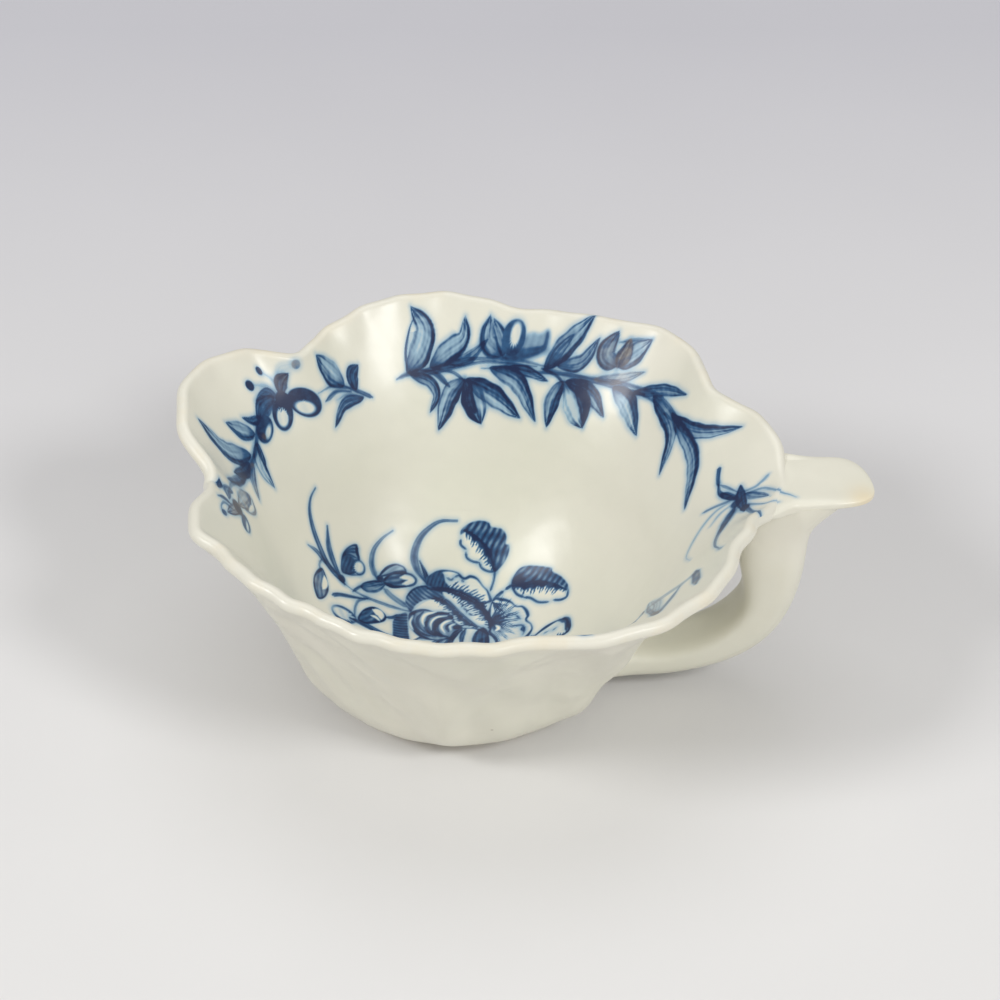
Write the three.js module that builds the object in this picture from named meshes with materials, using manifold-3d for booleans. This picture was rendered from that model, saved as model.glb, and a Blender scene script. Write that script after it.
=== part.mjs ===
import * as THREE from 'three';
import { mergeVertices } from 'three/addons/utils/BufferGeometryUtils.js';
import Module from 'manifold-3d';

// A small butter boat in glazed porcelain, press-moulded as one big lobed leaf.
// Three pieces of clay are luted together before firing: the leaf cup on its flat oval foot,
// the strap loop that stands off the handle side, and the flat thumb rest over the loop.
// Millimetres. The origin is the middle of the foot on the table, +X points to the handle
// and away from the pouring lip, +Z is up.

// Cup: heights and thicknesses
const rimHeight = 33.6;
const wallThickness = 2.2;
const floorThickness = 3.2;
const floorBendHeight = 17;
const floorFlatRadius = 4;

// Cup: the oval that the leaf's outline is drawn on
const leafHalfLength = 40;
const leafHalfWidth = 40;

// Cup: the oval foot
const footHalfLength = 14.9;
const footHalfWidth = 13.6;
const footEdgeHeight = 0.6;

// Cup: the outside from foot to rim, as slopes above level and lengths along the wall
const footSlope = 26;
const bellySlope = 71;
const rimSlope = 42;
const bellyRun = 11;
const wallRun = 31;
const bellySwell = 1.2;

// Rim: the leaf's lobes, by compass angle from the handle. Reach is how far the lobe's tip stands
// from the middle and drop is what the edge draws in at the half width, both as shares of the oval.
// Lift raises the tip by a share of the rim's height.
const lobes = [
  { angle: 5, reach: 1.04, halfWidth: 21, drop: 0.103, lift: 0.006 },
  { angle: 43.5, reach: 0.99, halfWidth: 20.5, drop: 0.12, lift: 0.024 },
  { angle: 54, reach: 0.925, halfWidth: 18, drop: 0.028, lift: 0.018 },
  { angle: 97.5, reach: 0.92, halfWidth: 24, drop: 0.063, lift: 0.033 },
  { angle: 153, reach: 0.955, halfWidth: 23, drop: 0.15, lift: 0.08 },
  { angle: 180, reach: 0.775, halfWidth: 15, drop: 0.05, lift: -0.077 },
  { angle: 200, reach: 0.865, halfWidth: 19.5, drop: 0.165, lift: 0.027 },
  { angle: 213, reach: 0.83, halfWidth: 20, drop: 0.023, lift: 0.018 },
  { angle: 280, reach: 0.848, halfWidth: 24, drop: 0.015, lift: -0.006 },
  { angle: 322, reach: 0.983, halfWidth: 26, drop: 0.078, lift: 0.006 },
  { angle: 345.5, reach: 0.963, halfWidth: 12.5, drop: 0.085, lift: 0 },
];
const lobeBlend = 120;
const rimSoftness = 1.3;
const floorSoftness = 30;
const scallopDepth = 0.13;

// Outside: the moulded veins, a stem from the foot that forks into two arms under each lobe
const veinHeight = 0.5;
const veinWidth = 1.6;
const veinForkHeight = 9;
const veinStems = [
  { angle: 48, left: 20, right: 22 },
  { angle: 97, left: 22, right: 22 },
  { angle: 150, left: 24, right: 18 },
  { angle: 207, left: 22, right: 20 },
  { angle: 266, left: 27, right: 24 },
  { angle: 320, left: 22, right: 18 },
];

// Loop handle: a strap on a rounded quarter arch, hollowed on its inner face
const loopBeyondLeaf = 0.4;
const loopLowHeight = 4.9;
const archLength = 16.9;
const archHeight = 17.1;
const archFullness = 2.15;
const strapThickness = 3.9;
const strapTopThickness = 8.4;
const strapWidth = 7.6;
const strapTopWidth = 8.6;
const channelDepth = 0.8;

// Thumb rest: a flat tongue that seats in a shallow cut in the rim
const thumbLength = 12.8;
const thumbSeatDepth = 2.2;
const thumbRootWidth = 10.4;
const thumbTipWidth = 9.4;
const thumbRootThickness = 4.6;
const thumbTipThickness = 1.1;
const thumbDip = 1.7;
const thumbFall = 1.0;
const thumbTipRound = 4.8;

// Luting seams
const seamGap = 0.3;

// Fineness of the facets
const columns = 160;
const wallRings = 18;
const innerRings = 5;
const bendRings = 7;
const lipRings = 4;
const strapRings = 26;
const strapSides = 20;
const thumbRings = 14;
const outlineSamples = 720;
const harmonicCount = 72;

const fullTurn = Math.PI * 2;
const radians = THREE.MathUtils.degToRad;
const { lerp, smoothstep } = THREE.MathUtils;

function wrapAngle(angle) {
  return angle - fullTurn * Math.round(angle / fullTurn);
}

// Rim outline: the lobes are joined by a soft maximum, so that a small notch stays where two meet.
function rimAt(angle) {
  let total = 0;
  let heightSum = 0;
  for (const lobe of lobes) {
    const offset = wrapAngle(angle - radians(lobe.angle)) / radians(lobe.halfWidth);
    const reach = lobe.reach - lobe.drop * offset ** 2;
    const weight = Math.exp(lobeBlend * (reach - 1));
    const share = lobe.lift > 0 ? 1 - Math.min(offset ** 2, 1) : 1;
    total += weight;
    heightSum += weight * rimHeight * (1 + lobe.lift * share);
  }
  const besideThumb = (wrapAngle(angle) * leafHalfLength) / (thumbRootWidth / 2);
  const dip = thumbDip * Math.exp(-(besideThumb ** 2) * 0.8);
  return { reach: 1 + Math.log(total) / lobeBlend, height: heightSum / total - dip };
}

// A closed outline as harmonics, so that its finer waves can fade toward the foot
function harmonicsOf(read) {
  const waves = [];
  for (let order = 0; order <= harmonicCount; order += 1) {
    const wave = { cosine: 0, sine: 0 };
    for (let i = 0; i < outlineSamples; i += 1) {
      const angle = (i / outlineSamples) * fullTurn;
      const value = (read(angle) * (order === 0 ? 1 : 2)) / outlineSamples;
      wave.cosine += value * Math.cos(order * angle);
      wave.sine += value * Math.sin(order * angle);
    }
    waves.push(wave);
  }
  return waves;
}

function softened(waves, angle, softness) {
  let value = 0;
  waves.forEach((wave, order) => {
    const fade = Math.exp(-0.5 * (order * radians(softness)) ** 2);
    value += fade * (wave.cosine * Math.cos(order * angle) + wave.sine * Math.sin(order * angle));
  });
  return value;
}

const reachWaves = harmonicsOf((angle) => rimAt(angle).reach);
const heightWaves = harmonicsOf((angle) => rimAt(angle).height);

function scallopAt(angle) {
  return scallopDepth * (Math.cos(36 * angle + 1.4 * Math.sin(3 * angle)) + 0.7 * Math.cos(23 * angle + 1));
}

// Wall profile: the slope climbs from the foot to the belly, then eases to the flared rim.
const profileSteps = 200;
const profile = [{ out: 0, up: 0 }];
for (let i = 0; i < profileSteps; i += 1) {
  const run = ((i + 0.5) / profileSteps) * (bellyRun + wallRun);
  const climb = lerp(footSlope, bellySlope, Math.sin((Math.min(run / bellyRun, 1) * Math.PI) / 2));
  const ease = Math.max(run - bellyRun, 0) / wallRun;
  const slope = radians(climb + (rimSlope - bellySlope) * ease);
  const last = profile[i];
  profile.push({ out: last.out + Math.cos(slope), up: last.up + Math.sin(slope) });
}

function profileAt(t, key) {
  const place = THREE.MathUtils.clamp(t, 0, 1) * profileSteps;
  const i = Math.min(Math.floor(place), profileSteps - 1);
  return lerp(profile[i][key], profile[i + 1][key], place - i) / profile[profileSteps][key];
}

// The wall's outer edge lies under the rounded lip by what the half round takes up.
const lipRadius = wallThickness / 2;
const lipSink = lipRadius * (1 + Math.cos(radians(rimSlope)));
const lipInset = lipRadius * (1 - Math.sin(radians(rimSlope)));
const wallRise = rimHeight - lipSink - footEdgeHeight;

// Smooth outside of the cup: t runs from the foot's edge at 0 to the rim at 1.
function wallPoint(angle, t) {
  const softness = rimSoftness + floorSoftness * (1 - t);
  const share = softened(reachWaves, angle, softness);
  const edge = scallopAt(angle) * smoothstep(t, 0.85, 1) - lipInset;
  const rimLevel = softened(heightWaves, angle, softness) - lipSink;
  const out = profileAt(t, 'out');
  const belly = bellySwell * Math.sin(Math.PI * t);
  const x = lerp(footHalfLength, share * leafHalfLength + edge, out) + belly;
  const y = lerp(footHalfWidth, share * leafHalfWidth + edge, out) + belly;
  const lift = (rimLevel - footEdgeHeight - wallRise) * t ** 4;
  const height = footEdgeHeight + wallRise * profileAt(t, 'up') + lift;
  return new THREE.Vector3(x * Math.cos(angle), y * Math.sin(angle), height);
}

// Directions at a point of the wall: up along it, and out of it
function wallDirections(angle, t) {
  const step = 0.002;
  const around = wallPoint(angle + step, t).sub(wallPoint(angle - step, t));
  const along = wallPoint(angle, Math.min(t + step, 1)).sub(wallPoint(angle, Math.max(t - step, 0)));
  const up = along.normalize();
  return { up, out: around.cross(up).normalize() };
}

// Vein relief on the outside, highest on the line of a stem or arm
function veinRelief(angle, t) {
  const forkT = veinForkHeight / wallRise;
  const reach = Math.hypot(wallPoint(angle, t).x, wallPoint(angle, t).y);
  let relief = 0;
  for (const stem of veinStems) {
    const spread = Math.max(t - forkT, 0) / (1 - forkT);
    const lines = [-radians(stem.left) * spread, radians(stem.right) * spread];
    for (const line of lines) {
      const distance = wrapAngle(angle - radians(stem.angle) - line) * reach;
      relief = Math.max(relief, Math.exp(-((distance / veinWidth) ** 2)));
    }
  }
  return veinHeight * relief * smoothstep(t, 0.02, 0.15) * (1 - smoothstep(t, 0.75, 0.98));
}

// A ring of points round the cup, made by a function of the angle
function ringOf(place) {
  return Array.from({ length: columns }, (_, i) => place((i / columns) * fullTurn));
}

// Closed body through a row of rings, with a fan over each end
function loft(rings) {
  const count = rings[0].length;
  const centres = [rings[0], rings[rings.length - 1]].map((ring) => {
    const centre = new THREE.Vector3();
    ring.forEach((point) => centre.addScaledVector(point, 1 / count));
    return centre;
  });
  const points = [...rings.flat(), ...centres];
  const firstCentre = rings.length * count;
  const index = [];
  for (let j = 0; j < count; j += 1) {
    const next = (j + 1) % count;
    const last = (rings.length - 1) * count;
    index.push(firstCentre, next, j);
    index.push(firstCentre + 1, last + j, last + next);
    for (let i = 0; i < rings.length - 1; i += 1) {
      const low = i * count;
      const high = low + count;
      index.push(low + j, low + next, high + next);
      index.push(low + j, high + next, high + j);
    }
  }
  const geometry = new THREE.BufferGeometry();
  geometry.setAttribute('position', new THREE.Float32BufferAttribute(points.flatMap((p) => p.toArray()), 3));
  geometry.setIndex(facingOut(points, index));
  return geometry;
}

// The same triangles, turned over if they face in
function facingOut(points, index) {
  let volume = 0;
  for (let i = 0; i < index.length; i += 3) {
    const [a, b, c] = [points[index[i]], points[index[i + 1]], points[index[i + 2]]];
    volume += a.dot(b.clone().cross(c));
  }
  return volume > 0 ? index : index.reverse();
}

// Outer rings from foot to rim, moved out of the wall by a clearance, with or without the veins
function outerRings(clearance, veined) {
  const rings = [];
  for (let i = 0; i <= wallRings; i += 1) {
    const t = i / wallRings;
    rings.push(
      ringOf((angle) => {
        const relief = clearance + (veined ? veinRelief(angle, t) : veinHeight);
        return wallPoint(angle, t).addScaledVector(wallDirections(angle, t).out, relief);
      }),
    );
  }
  return rings;
}

function footRing(height, clearance) {
  const x = footHalfLength + clearance;
  const y = footHalfWidth + clearance;
  return ringOf((angle) => new THREE.Vector3(x * Math.cos(angle), y * Math.sin(angle), height));
}

// Half round of the lip, from the outside over the top to the inside
function lipRing(turn, clearance) {
  return ringOf((angle) => {
    const { up, out } = wallDirections(angle, 1);
    const centre = wallPoint(angle, 1).addScaledVector(out, -lipRadius);
    centre.addScaledVector(out, (lipRadius + clearance) * Math.cos(turn));
    return centre.addScaledVector(up, (lipRadius + clearance) * Math.sin(turn));
  });
}

function innerPoint(angle, t) {
  return wallPoint(angle, t).addScaledVector(wallDirections(angle, t).out, -wallThickness);
}

// The inside leaves the wall at the bend height and rounds into the small flat floor on a parabola.
function bendPoint(angle, bendT, share) {
  const start = innerPoint(angle, bendT);
  const { up } = wallDirections(angle, bendT);
  const corner = start.clone().addScaledVector(up, -(start.z - floorThickness) / up.z);
  const end = new THREE.Vector3(Math.cos(angle), Math.sin(angle), 0).multiplyScalar(floorFlatRadius);
  end.z = floorThickness;
  const point = start.multiplyScalar((1 - share) ** 2);
  point.addScaledVector(corner, 2 * share * (1 - share));
  return point.addScaledVector(end, share ** 2);
}

function bendStart() {
  let i = 0;
  while (footEdgeHeight + wallRise * profileAt(i / profileSteps, 'up') < floorBendHeight) {
    i += 1;
  }
  return i / profileSteps;
}

function cupShell() {
  const bendT = bendStart();
  const rings = [footRing(0, 0), ...outerRings(0, true)];
  for (let i = 1; i < lipRings; i += 1) {
    rings.push(lipRing((i / lipRings) * Math.PI, 0));
  }
  for (let i = 0; i < innerRings; i += 1) {
    const t = lerp(1, bendT, i / innerRings);
    rings.push(ringOf((angle) => innerPoint(angle, t)));
  }
  for (let i = 0; i <= bendRings; i += 1) {
    rings.push(ringOf((angle) => bendPoint(angle, bendT, i / bendRings)));
  }
  return loft(rings);
}

// The cup's outer shape, filled and grown by the seam: what the luted pieces are cut to
function cupEnvelope() {
  const rings = [footRing(0, seamGap), ...outerRings(seamGap, false)];
  rings.push(lipRing(Math.PI / 4, seamGap));
  rings.push(lipRing(Math.PI / 2, seamGap));
  return loft(rings);
}

const loopReach = leafHalfLength + loopBeyondLeaf;

// Centre line of the loop: level out of the wall, round the arch, then up under the thumb rest
function loopPath() {
  const archX = loopReach - archLength;
  const archZ = loopLowHeight + archHeight;
  const points = [new THREE.Vector3(footHalfLength + wallThickness, 0, loopLowHeight)];
  const archSteps = 8;
  for (let i = 0; i <= archSteps; i += 1) {
    const turn = ((i / archSteps) * Math.PI) / 2;
    const across = archLength * Math.sin(turn) ** (2 / archFullness);
    const down = archHeight * Math.max(Math.cos(turn), 0) ** (2 / archFullness);
    points.push(new THREE.Vector3(archX + across, 0, archZ - down));
  }
  const topHeight = rimHeight - thumbDip - thumbRootThickness / 2;
  points.push(new THREE.Vector3(loopReach + wallThickness / 3, 0, topHeight));
  return new THREE.CatmullRomCurve3(points, false, 'centripetal');
}

// One section of the strap: rounded, with its inner face hollowed
function strapRing(path, share) {
  const centre = path.getPointAt(share);
  const tangent = path.getTangentAt(share);
  const out = new THREE.Vector3(tangent.z, 0, -tangent.x);
  const side = new THREE.Vector3(0, 1, 0);
  const swell = smoothstep(share, 0.25, 1) ** 1.3;
  const halfThickness = lerp(strapThickness, strapTopThickness, swell) / 2;
  const halfWidth = lerp(strapWidth, strapTopWidth, share) / 2;
  const squareness = 0.62;
  return Array.from({ length: strapSides }, (_, i) => {
    const turn = (i / strapSides) * fullTurn;
    const across = Math.sign(Math.sin(turn)) * Math.abs(Math.sin(turn)) ** squareness;
    const depth = Math.sign(Math.cos(turn)) * Math.abs(Math.cos(turn)) ** squareness;
    const hollow = depth < 0 ? channelDepth * (1 - across ** 2) : 0;
    const point = centre.clone().addScaledVector(out, depth * halfThickness + hollow);
    return point.addScaledVector(side, across * halfWidth);
  });
}

function strapSolid() {
  const path = loopPath();
  return loft(Array.from({ length: strapRings + 1 }, (_, i) => strapRing(path, i / strapRings)));
}

// Thumb rest: a tongue with a flat top, thick at the seat and thin at its round tip
const seatX = leafHalfLength * lobes[0].reach - thumbSeatDepth;
const thumbTop = rimHeight - thumbDip;

function thumbRing(x, clearance) {
  const share = THREE.MathUtils.clamp((x - seatX) / thumbLength, 0, 1);
  const tipX = seatX + thumbLength + clearance;
  const round = THREE.MathUtils.clamp((x - tipX + thumbTipRound) / thumbTipRound, 0, 0.999);
  const fullHalf = lerp(thumbRootWidth, thumbTipWidth, share) / 2 + clearance;
  const half = fullHalf * Math.sqrt(1 - round ** 2);
  const taper = 1 - (1 - share) ** 1.6;
  const thickness = lerp(thumbRootThickness, thumbTipThickness, taper) + 2 * clearance;
  const middle = thumbTop - thumbFall * share + clearance - thickness / 2;
  const squareness = 0.5;
  return Array.from({ length: strapSides }, (_, i) => {
    const turn = (i / strapSides) * fullTurn;
    const across = Math.sign(Math.sin(turn)) * Math.abs(Math.sin(turn)) ** squareness;
    const depth = Math.sign(Math.cos(turn)) * Math.abs(Math.cos(turn)) ** squareness;
    return new THREE.Vector3(x, across * half, middle + (depth * thickness) / 2);
  });
}

function thumbSolid(clearance) {
  const rootX = seatX - thumbSeatDepth - wallThickness;
  const tipX = seatX + thumbLength + clearance;
  const rings = [];
  for (let i = 0; i <= thumbRings; i += 1) {
    const share = Math.sin(((i / thumbRings) * Math.PI) / 2);
    rings.push(thumbRing(lerp(rootX, tipX - 0.01, share), clearance));
  }
  return loft(rings);
}

// Block beyond the seat in the rim, as wide as the thumb rest's root and its seams
function seatBlock(startX, halfWidth) {
  const length = thumbLength * 2;
  const height = rimHeight * 2;
  const block = new THREE.BoxGeometry(length, halfWidth * 2, height);
  block.translate(startX + length / 2, 0, rimHeight * 1.5);
  return block;
}

// Cutting and joining of closed shapes
const wasm = await Module();
wasm.setup();

function toSolid(geometry) {
  const bare = geometry.clone();
  bare.deleteAttribute('normal');
  bare.deleteAttribute('uv');
  const merged = mergeVertices(bare, 1e-5);
  const vertProperties = new Float32Array(merged.attributes.position.array);
  const triVerts = new Uint32Array(merged.index.array);
  return new wasm.Manifold(new wasm.Mesh({ numProp: 3, vertProperties, triVerts }));
}

function toGeometry(solid) {
  const { vertProperties, triVerts } = solid.getMesh();
  const geometry = new THREE.BufferGeometry();
  geometry.setAttribute('position', new THREE.BufferAttribute(new Float32Array(vertProperties), 3));
  geometry.setIndex(new THREE.BufferAttribute(new Uint32Array(triVerts), 1));
  geometry.computeVertexNormals();
  return geometry;
}

const envelope = toSolid(cupEnvelope());
const seatHalfWidth = thumbRootWidth / 2 + seamGap;
const cupSolid = toSolid(cupShell()).subtract(toSolid(seatBlock(seatX - seamGap, seatHalfWidth)));
const seatedEnvelope = envelope.subtract(toSolid(seatBlock(seatX, seatHalfWidth)));
const thumbPiece = toSolid(thumbSolid(0)).subtract(seatedEnvelope);
const loopPiece = toSolid(strapSolid()).subtract(envelope).subtract(toSolid(thumbSolid(seamGap)));

function glazedPiece(name, solid, color) {
  const material = new THREE.MeshStandardMaterial({ color, roughness: 0.16, metalness: 0 });
  const mesh = new THREE.Mesh(toGeometry(solid), material);
  mesh.name = name;
  return mesh;
}

const butterBoat = new THREE.Group();
butterBoat.name = 'butter_boat';
butterBoat.add(glazedPiece('leaf_cup', cupSolid, 0xdad8c6));
butterBoat.add(glazedPiece('loop_handle', loopPiece, 0xd5d3c0));
butterBoat.add(glazedPiece('thumb_rest', thumbPiece, 0xdddbcb));

export default butterBoat;
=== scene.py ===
"""A leaf-shaped butter boat in glazed porcelain, painted in blue under the glaze."""

import math
from types import SimpleNamespace

import bpy
import numpy as np
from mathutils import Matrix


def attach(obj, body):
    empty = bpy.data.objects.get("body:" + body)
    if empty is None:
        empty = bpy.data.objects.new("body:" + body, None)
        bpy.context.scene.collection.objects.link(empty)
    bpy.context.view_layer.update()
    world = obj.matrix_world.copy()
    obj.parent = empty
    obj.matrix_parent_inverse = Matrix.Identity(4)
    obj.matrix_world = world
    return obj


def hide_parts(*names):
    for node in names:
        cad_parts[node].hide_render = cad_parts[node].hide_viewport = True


bl_info = {
    "name": "Leaf Butter Boat",
    "version": (1, 0, 0),
    "blender": (4, 5, 0),
    "location": "View3D > Sidebar > Butter Boat",
    "description": "Builds a porcelain leaf butter boat with its underglaze painting",
    "category": "Object",
}

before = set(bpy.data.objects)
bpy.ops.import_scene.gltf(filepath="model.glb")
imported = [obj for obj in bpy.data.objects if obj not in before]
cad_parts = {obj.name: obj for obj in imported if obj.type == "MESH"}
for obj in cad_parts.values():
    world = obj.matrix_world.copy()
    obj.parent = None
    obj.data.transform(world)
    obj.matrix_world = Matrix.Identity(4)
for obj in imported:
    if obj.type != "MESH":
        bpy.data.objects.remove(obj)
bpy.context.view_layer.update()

MM = 0.001

# Lobes of the leaf's rim: compass angle and half width in degrees, then reach, drop and lift
# as shares of the oval that the outline is drawn on and of the rim's height.
LOBE_ANGLE = np.radians([5, 43.5, 54, 97.5, 153, 180, 200, 213, 280, 322, 345.5])
LOBE_HALF = np.radians([21, 20.5, 18, 24, 23, 15, 19.5, 20, 24, 26, 12.5])
LOBE_REACH = np.array([1.04, 0.99, 0.925, 0.92, 0.955, 0.775, 0.865, 0.83, 0.848, 0.983, 0.963])
LOBE_DROP = np.array([0.103, 0.12, 0.028, 0.063, 0.15, 0.05, 0.165, 0.023, 0.015, 0.078, 0.085])
LOBE_LIFT = np.array([0.006, 0.024, 0.018, 0.033, 0.08, -0.077, 0.027, 0.018, -0.006, 0.006, 0.0])
LOBE_BLEND = 120.0
HARMONICS = 72
PROFILE_STEPS = 400

# Moulded veins outside: compass angle of each stem and how far its two arms spread, in degrees
VEINS = np.radians(
    [(48, 20, 22), (97, 22, 22), (150, 24, 18), (207, 22, 20), (266, 27, 24), (320, 22, 18)]
)

SHARP_EDGE = math.radians(55)

# The painted sheets: distance between their fine points, fine steps to a coarse one underneath, and
# how far a sheet lies over the wall and reaches into it, in millimetres.
GRAIN = 0.13
STEP = 8
SHEET_LIFT = 0.014
SHEET_DEPTH = 0.06

# From the middle of the stage to each lamp, in metres.
LAMP_DISTANCE = 1.5


def length(name, description, millimetres, low=0.1, high=200.0):
    low, value, high = low * MM, millimetres * MM, high * MM
    return bpy.props.FloatProperty(
        name=name, description=description, default=value, min=low, max=high, unit="LENGTH"
    )


def colour(name, description, rgb):
    return bpy.props.FloatVectorProperty(
        name=name, description=description, default=rgb, size=3, min=0.0, max=1.0, subtype="COLOR"
    )


def share(name, description, value):
    return bpy.props.FloatProperty(
        name=name, description=description, default=value, min=0.0, max=1.0, subtype="FACTOR"
    )


def amount(name, description, value):
    return bpy.props.FloatProperty(name=name, description=description, default=value, min=0.0)


class CupSizes(bpy.types.PropertyGroup):
    """Sizes of the leaf cup."""

    rim_height: length("Rim Height", "Height of the rim over the table", 33.6)
    wall: length("Wall", "Thickness of the wall", 2.2)
    floor: length("Floor", "Height of the inside's floor", 3.2)
    floor_flat: length("Floor Flat", "Radius of the level part of the floor", 4.0)
    bend_height: length("Bend Height", "Height where the inside leaves the wall for the floor", 17.0)
    half_length: length("Half Length", "Half length of the oval under the leaf's outline", 40.0)
    half_width: length("Half Width", "Half width of the oval under the leaf's outline", 40.0)
    foot_half_length: length("Foot Half Length", "Half length of the oval foot", 14.9)
    foot_half_width: length("Foot Half Width", "Half width of the oval foot", 13.6)
    foot_edge: length("Foot Edge", "Height of the foot's upright edge", 0.6)
    belly_run: length("Belly Run", "Length of the curve from the foot to the belly", 11.0)
    wall_run: length("Wall Run", "Length of the wall from the belly to the rim", 31.0)
    belly_swell: length("Belly Swell", "How far the middle of the wall stands out", 1.2)
    scallop: length("Scallop", "Height of the small waves on the rim", 0.13, low=0.0)
    vein_height: length("Vein Height", "How far the moulded veins stand out", 0.58, low=0.0)
    vein_width: length("Vein Width", "Half width of a moulded vein", 2.3)
    lump_height: length("Lump Height", "Height of the broad unevenness outside", 0.42, low=0.0)


class HandleSizes(bpy.types.PropertyGroup):
    """Sizes of the loop handle."""

    beyond_leaf: length("Beyond Leaf", "How far the loop stands past the leaf's oval", 0.4, low=0.0)
    low_height: length("Low Height", "Height of the loop's lower end", 4.9)
    arch_length: length("Arch Length", "Length of the quarter arch", 16.9)
    arch_height: length("Arch Height", "Height of the quarter arch", 17.1)
    thickness: length("Thickness", "Thickness of the strap at the wall", 3.9)
    top_thickness: length("Top Thickness", "Thickness of the strap under the thumb rest", 8.4)
    width: length("Width", "Width of the strap at the wall", 7.6)
    top_width: length("Top Width", "Width of the strap under the thumb rest", 8.6)
    channel: length("Channel", "Depth of the hollow on the strap's inner face", 0.4, low=0.0)
    outer_swell: length("Outer Swell", "Extra thickness on the outside of the arch", 1.7, low=0.0)
    root_flare: length("Root Flare", "How much the strap spreads where it is luted to the wall", 1.6, low=0.0)
    top_flare: length("Top Flare", "How far the outer face runs out under the thumb rest", 5.6, low=0.0)
    inner_swell: length("Inner Swell", "Extra thickness of the upper strap toward the cup", 1.7, low=0.0)


class ThumbSizes(bpy.types.PropertyGroup):
    """Sizes of the thumb rest."""

    length: length("Length", "Length of the tongue from its seat", 12.8)
    seat: length("Seat", "Depth of its seat in the rim", 2.2)
    root_width: length("Root Width", "Width at the rim", 10.4)
    tip_width: length("Tip Width", "Width before the round tip", 9.0)
    far_width: length("Far Width", "Width from the middle line to the far edge", 5.7)
    near_flare: length("Near Flare", "How much wider the root is on the near side", 1.7, low=0.0)
    near_dip: length("Near Dip", "How far the rim's dip reaches on the near side", 8.0)
    tip_lean: length("Tip Lean", "How far the tip leans to the near side", 0.7, low=0.0)
    root_thickness: length("Root Thickness", "Thickness at the rim", 3.4)
    tip_thickness: length("Tip Thickness", "Thickness at the tip", 1.1)
    tip_round: length("Tip Round", "Length of the round tip", 4.8)
    dip: length("Dip", "How far the rim dips for the thumb rest", 1.7, low=0.0)
    sink: length("Sink", "How far the rim lies under the top of the thumb rest", 0.4, low=0.0)
    fall: length("Fall", "How far the tip lies below the seat", 1.0, low=0.0)
    dish: length("Dish", "Hollow of the top face", 0.22, low=0.0)


class GlazeLook(bpy.types.PropertyGroup):
    """Colours of the glaze and of the painting under it."""

    paste: colour("Paste", "White body where no glaze covers it", (0.72, 0.66, 0.55))
    glaze: colour("Glaze", "Clear warm grey glaze over the body", (0.755, 0.73, 0.63))
    glaze_deep: colour("Deep Glaze", "Glaze where it has run together", (0.715, 0.705, 0.59))
    crest: colour("Crest", "Thin glaze on the edges", (0.76, 0.735, 0.645))
    wear: colour("Wear", "Rubbed and stained edges", (0.75, 0.645, 0.44))
    speck: colour("Speck", "Iron specks fired into the glaze", (0.30, 0.25, 0.19))
    wash: colour("Wash", "Thin wash of blue, as a tint on the glaze", (0.40, 0.615, 0.90))
    stroke: colour("Stroke", "Full stroke of blue, as a tint on the glaze", (0.026, 0.12, 0.335))
    pool: colour("Pool", "Blue where the brush stopped, as a tint on the glaze", (0.0, 0.016, 0.10))
    umber: colour("Umber", "Overfired blue, as a tint on the glaze", (0.08, 0.065, 0.10))
    roughness: share("Roughness", "Softness of the glaze's gloss", 0.295)
    bare_roughness: share("Bare Roughness", "Softness of the unglazed base", 0.65)


class StageLook(bpy.types.PropertyGroup):
    """Floor, lamps and camera."""

    floor_near: colour("Near Floor", "Colour of the floor in front", (0.752, 0.743, 0.734))
    # The far colour is darker than the near one: painted shade for the light falling off toward the back of
    # the floor.
    floor_far_shaded: colour("Far Floor", "Colour of the floor behind", (0.55, 0.545, 0.58))
    near_y: length("Near Line", "Where the floor has its front colour", -95.0, low=-500.0)
    far_y: length("Far Line", "Where the floor has its back colour", 150.0)
    left_power: amount("Left Lamp", "Power of the left soft box", 7.9)
    right_power: amount("Right Lamp", "Power of the right soft box", 6.4)
    top_power: amount("Top Light", "Power of the broad light high behind", 4.7)
    fill_power: amount("Front Fill", "Power of the low front fill", 8.8)
    world_light: amount("Room Light", "Strength of the even light", 0.38)
    elevation: bpy.props.FloatProperty(
        name="Elevation",
        description="Height of the camera as an angle",
        default=math.radians(39.0),
        subtype="ANGLE",
    )
    distance: length("Distance", "Camera to the point that it looks at", 620.0, high=5000.0)
    lens: bpy.props.FloatProperty(
        name="Lens", description="Focal length in millimetres", default=173.0, min=20.0, max=400.0
    )
    aim: bpy.props.FloatVectorProperty(
        name="Aim",
        description="Point that the camera looks at",
        default=(0.0056, 0.0159, 0.016),
        size=3,
        subtype="TRANSLATION",
    )


class BoatSettings(bpy.types.PropertyGroup):
    """Everything that a user would change on the butter boat."""

    cup: bpy.props.PointerProperty(type=CupSizes, name="Cup", description="Sizes of the leaf cup")
    handle: bpy.props.PointerProperty(type=HandleSizes, name="Handle", description="Sizes of the loop handle")
    thumb: bpy.props.PointerProperty(type=ThumbSizes, name="Thumb Rest", description="Sizes of the rest")
    look: bpy.props.PointerProperty(type=GlazeLook, name="Glaze", description="Colours of glaze and painting")
    stage: bpy.props.PointerProperty(type=StageLook, name="Stage", description="Floor, lamps and camera")


def sizes(group):
    """The lengths of a group of settings, in millimetres."""
    return SimpleNamespace(**{name: getattr(group, name) / MM for name in group.__annotations__})


def wrapped(angle):
    return angle - 2 * np.pi * np.round(angle / (2 * np.pi))


def smooth(value, low, high):
    """0 below low, 1 above high, and a smooth climb 3s^2 - 2s^3 between them."""
    s = np.clip((value - low) / (high - low), 0, 1)
    return s * s * (3 - 2 * s)


def bell(value, width):
    """exp(-(value / width)^2)"""
    return np.exp(-((value / width) ** 2))


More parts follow.
